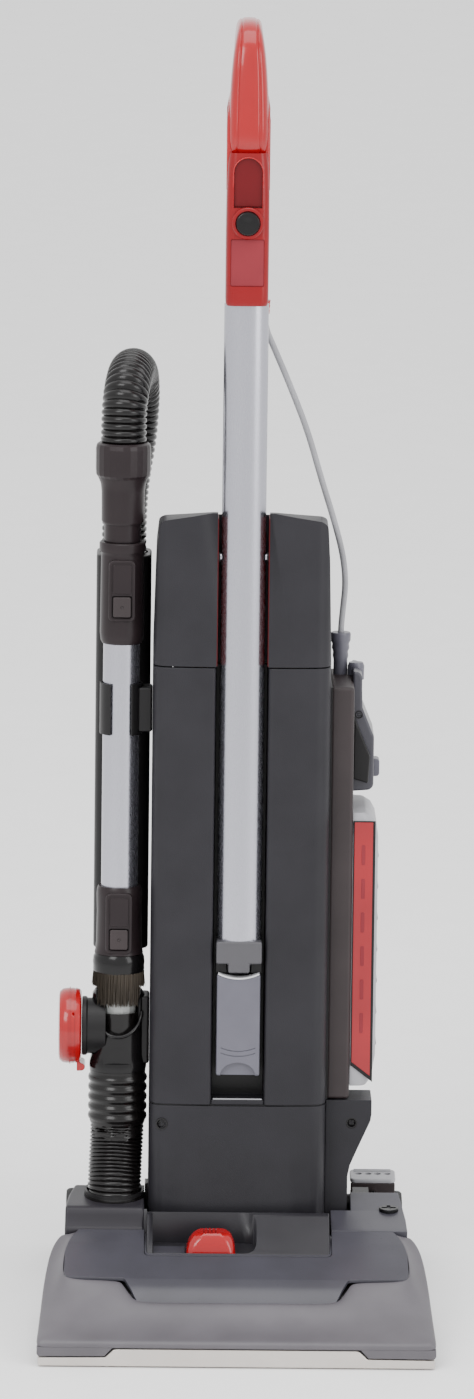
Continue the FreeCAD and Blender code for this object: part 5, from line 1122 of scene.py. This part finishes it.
def make_console():
    wedge = prism("console_skin", "x", (-78.2, 81.4), [(-132.4, 62.4), (-132.4, 67.6), (-131, 68.8),
        (-92, 90.6), (-89.6, 92), (-84.4, 92), (-84.4, 62.4)], place=BASE)
    soften(wedge, 0.9, 2)
    bowl = []
    for i in range(17):
        angle = math.radians(90 - 180 * i / 16)
        bowl.append((18 * abs(math.cos(angle)) ** 0.5,
            -109 + math.copysign(22 * abs(math.sin(angle)) ** 0.5, math.sin(angle))))
    pit = prism("pit", "z", (64.2, 130), [(-73, -131), (-73, -87)] + bowl, place=BASE)
    polish(carve(wedge, pit), 34, "black_plastic", "base", "knob_console", material=CONSOLE_GREY)
    cast(prism("console_cheek", "x", (-80.9, -77.9), [(-94.6, 64), (-94.6, 78), (-90.2, 86.4),
        (-88, 91.4), (-84.6, 94.4), (-84.6, 64)], place=BASE), 0.3, 1, "black_plastic", "base",
        material=CONSOLE_GREY)
    cast(box("console_ledge", (-72.8, -44.5), (-130.8, -100), (64.2, 65.4), place=BASE), 0.5, 1,
        "hood_plastic", "base")
    for i in range(4):
        cast(box(f"height_mark_{i}", (-62 + 4.6 * i, -61 + 4.6 * i), (-127 + i, -121), (65.2, 65.55),
            place=BASE), 0.15, 1, "pale_plastic", "base", material=MARK_WHITE)
    rings = []
    for height, left, right, front, back, radius in ((65.7, -43.6, -0.6, -128, -100, 6), (70, -43.2, -1,
            -127.6, -100, 7), (76, -41, -2.4, -126, -101, 8), (81, -38, -4.6, -123.4, -102.4, 9),
            (83.6, -34.4, -8, -120.4, -104.6, 7.4)):
        rings.append([(x, y, height) for x, y in round_rect(left, right, front, back, radius, 6)])
    knob = loft("height_knob_skin", rings, place=BASE)
    grooves = [box("groove", (x - 0.7, x + 0.7), (-119, -104), (82.2, 90), place=BASE) for x in (-28,
        -24.6, -21.2, -17.8)]
    soften(knob, 1.2, 3, 40)
    polish(carve(knob, *grooves), 40, "red_plastic", "height_knob", "height_knob")


def make_wheels():
    for side, name in SIDES:
        profile = [(5.2, 128), (20, 128), (23, 129.4), (28, 129.2), (29.6, 131), (30, 134), (30, 145),
            (29.6, 148), (28, 150), (23, 150.4), (21.4, 148), (20.6, 147.2), (9, 147.2), (8.4, 150.6),
            (5.2, 150.6)]
        wheel = lathe(f"rear_wheel_{name}_skin", "x", WHEEL, [(r, side * t) for r, t in profile], 72,
            place=BASE)
        treads = []
        for i in range(36):
            angle = 2 * math.pi * i / 36
            treads.append(rod("tread", "x", (WHEEL[0] + TREAD * math.cos(angle),
                WHEEL[1] + TREAD * math.sin(angle)), 1.1, (side * 133, side * 146), 8, place=BASE))
        carve(wheel, merged("treads", treads))
        polish(wheel, 34, "wheel_rubber", f"wheel_{name}", f"rear_wheel_{name}")


def make_brush_roll():
    """Tufts of the brush roll in two helical rows, and the roll that holds them."""
    random.seed(11)
    tools = bmesh.new()
    for row in range(2):
        for i in range(58):
            across = -131 + 240 * i / 57
            angle = math.pi * row + 2.4 * math.pi * i / 57
            for _ in range(7):
                spread = Vector((random.uniform(-1.6, 1.6), random.uniform(-1.2, 1.2),
                    random.uniform(-1.2, 1.2)))
                ray = Vector((0, math.cos(angle), math.sin(angle)))
                foot = Vector((across, *ROLL)) + ray * 13 + spread * 0.6
                tip = Vector((across, *ROLL)) + ray * random.uniform(20.4, 21.6) + spread
                strand(tools, foot, tip, 0.4, 0.25, True)
    dress(keep_mesh("brush_tufts", tools, BASE), "bristle", "brush_roll", "brush_bristles")


make_hood()
make_bumper()
make_bumper_toes()
make_rear_hoods()
make_console()
make_wheels()
make_brush_roll()


def make_pedal():
    """Foot pedal at the right rear: pale plate with four holes over a skirt darkened with painted shade."""
    plate = prism("release_pedal_skin", "z", (84, 88), round_rect(102.3, 142.7, 28.3, 58.7, 5, 6),
        place=BASE)
    soften(plate, 1.3, 3)
    holes = [rod("hole", "z", (x, 45), 3.1, (80, 92), 28, place=BASE) for x in (110, 118.5, 127, 135.5)]
    polish(carve(plate, *holes), 34, "pale_plastic", "release_pedal", "release_pedal")
    for i in range(3):
        cast(box(f"pedal_rib_{i}", (106, 139), (51 + 2.4 * i, 52.2 + 2.4 * i), (87.6, 88.8), place=BASE),
            0.4, 2, "pale_plastic", "release_pedal")
    # dark skirt under the pale plate: painted shade on the pedal's front face
    cast(box("pedal_skirt", (102.8, 142.2), (28.4, 31.9), (69, 84.2), place=BASE), 1.0, 3,
        "side_plastic", "release_pedal")
    cast(box("pedal_arm", (108, 120), (19, 30), (68.5, 76), place=BASE), 1.2, 3, "side_plastic",
        "release_pedal")
    polish(lathe("pedal_hub", "x", (20, 72), [(3.2, 107), (5.6, 107), (6, 107.6), (6, 120.4), (5.6, 121),
        (3.2, 121)], 40, place=BASE), 40, "side_plastic", "release_pedal")


def make_dust_bag():
    """Paper bag, blown up, with gussets folded in at its sides and a stiff collar."""
    rings = []
    for i in range(37):
        share = i / 36
        height = 210 + 354 * share
        full = 1 - 0.22 * abs(2 * share - 1) ** 5
        ring = []
        for k in range(88):
            angle = 2 * math.pi * k / 88
            c, s = math.cos(angle), math.sin(angle)
            x = math.copysign(abs(c) ** 0.42, c) * 60
            y = math.copysign(abs(s) ** 0.5, s) * 53
            gusset = 9 * math.exp(-(y / 10) ** 2) * abs(c) ** 4
            crease = 0.9 * math.sin(7 * angle + 11 * share) * math.sin(9 * share + 2)
            crease += 0.5 * math.sin(17 * angle - 23 * share)
            x -= math.copysign(gusset, c)
            ring.append((x * full + crease * c, 25 + y * full + crease * s,
                height + 0.6 * math.sin(5 * angle)))
        rings.append(ring)
    polish(loft("dust_bag_skin", rings), 50, "paper", "upright", "dust_bag")
    collar = prism("bag_collar", "z", (206.4, 211), round_rect(-34, 34, -6, 56, 5, 5))
    soften(collar, 0.6, 2)
    mouth = rod("mouth", "z", BAG_MOUTH, 19, (200, 215), 48)
    polish(carve(collar, mouth), 34, "paper")
    polish(lathe("bag_seal", "z", BAG_MOUTH, [(17, 206.2), (21, 206.2), (21, 208.4), (17, 208.4)], 48),
        40, "wheel_rubber")


def make_hepa_filter():
    """Pleated paper in a stiff frame."""
    case = box("hepa_frame", (81.3, 97.3), (-40.7, 55.7), (117.3, 354.7))
    soften(case, 0.8, 2)
    opening = box("opening", (80, 99), (-36.4, 51.4), (121.6, 350.4))
    polish(carve(case, opening), 34, "black_plastic")
    front, back = [], []
    for i in range(45):
        across = 83.5 if i % 2 else 95.5
        front.append((across + 0.4, -36.2 + 2 * i * 0.995))
        back.append((across - 0.4, -36.2 + 2 * i * 0.995))
    polish(prism("hepa_pleats", "z", (121.2, 350.8), front + back[::-1]), 20, "paper", "upright",
        "hepa_filter")
    for height in (178, 236, 294):
        cast(box(f"hepa_bar_{height}", (95.6, 97.2), (-37, 52), (height, height + 3)), 0.4, 1,
            "black_plastic")


def make_back_details():
    """Exhaust louvres, door ribs and hook pads on the back, and the black flanges that close the arm gaps, whose
    black is painted shade.
    """
    for side, name, reach in ((-1, "left", 80.2), (1, "right", 80.4)):
        # black flanges fill the arm gaps: painted shade where the gaps lie in shadow
        cast(box(f"gap_shade_flange_{name}", sorted((side * 77.2, side * reach)), (-40, -20), (-45, 25)), 0.6,
            2, "black_plastic")
    for i in range(7):
        low = 122 + 8.5 * i
        cast(prism(f"louvre_{i}", "x", (-52, 52), [(93.5, low), (95.6, low + 0.6), (96, low + 2),
            (93.5, low + 4.6)]), 0.4, 2, "charcoal_shell")
    for side, name in SIDES:
        cast(prism(f"door_rib_{name}", "x", sorted((side * 30, side * 33)), [(96.5, 285), (98.2, 287),
            (98.2, 440), (96.5, 442)]), 0.7, 2, "charcoal_shell", "bag_door")
    cast(prism("hook_pad", "y", (117.5, 124.6), round_rect(-7, 7, 570, 597, 3, 4)), 0.8, 2,
        "black_plastic", "cord_hook")


def make_tyres():
    """Soft rims of the front rollers."""
    for side, name in SIDES:
        profile = [(3.2, side * 104.2), (9.4, side * 104.2), (10.6, side * 105.2), (11, side * 106.6),
            (11, side * 113.4), (10.6, side * 114.8), (9.4, side * 115.8), (3.2, side * 115.8)]
        polish(lathe(f"front_roller_{name}_skin", "x", ROLLER, profile, 48, place=BASE), 40,
            "wheel_rubber", f"roller_{name}", f"front_roller_{name}")


make_pedal()
make_dust_bag()
make_hepa_filter()
make_back_details()
make_tyres()


# ---------------------------------------------------------------- nodes that stay
def finish_nodes():
    """Finish and fine edge rounding for the CAD nodes that are shown themselves."""
    slots = {part["node"]: part["material_slot"] for part in frame["record"]["subparts"]}
    for name, node in frame["nodes"].items():
        if node.hide_render:
            continue
        node.data.materials.clear()
        node.data.materials.append(MATERIALS[slots[name]])
        for face in node.data.polygons:
            face.use_smooth = True
        change = node.modifiers.new("round", "BEVEL")
        change.width = 0.0012
        change.segments = 2
        change.limit_method = "ANGLE"
        change.angle_limit = math.radians(40)
        change.harden_normals = True


finish_nodes()


# ---------------------------------------------------------------- room and light
def make_room():
    size = 30.0
    tools = bmesh.new()
    corners = [tools.verts.new(point) for point in ((-size, -size, 0), (size, -size, 0), (size, size, 0),
        (-size, size, 0))]
    tools.faces.new(corners)
    floor = keep_mesh("floor", tools, Matrix.Identity(4))
    pale = moulded("pale_floor", (0.93, 0.93, 0.93), 0.8, 3.0, 0.02, 0.01)
    floor.data.materials.append(pale)
    world = bpy.data.worlds.new("studio")
    scene.world = world
    world.use_nodes = True
    world.node_tree.nodes["Background"].inputs["Color"].default_value = (1.0, 1.0, 1.0, 1.0)
    world.node_tree.nodes["Background"].inputs["Strength"].default_value = 1.5


def area_light(name, place, target, wide, tall, power):
    data = bpy.data.lights.new(name, "AREA")
    data.shape = "RECTANGLE"
    data.size = wide
    data.size_y = tall
    data.energy = power
    lamp = bpy.data.objects.new(name, data)
    scene.collection.objects.link(lamp)
    lamp.location = place
    lamp.rotation_mode = "QUATERNION"
    lamp.rotation_quaternion = (Vector(target) - Vector(place)).to_track_quat("-Z", "Y")


make_room()
area_light("key", (-1.6, -2.4, 2.6), (0, 0, 0.5), 1.6, 1.6, 60)
area_light("fill", (2.2, -1.8, 1.6), (0, 0, 0.6), 1.2, 2.0, 36)
area_light("top", (0, -0.4, 3.2), (0, 0, 0), 2.0, 2.0, 40)
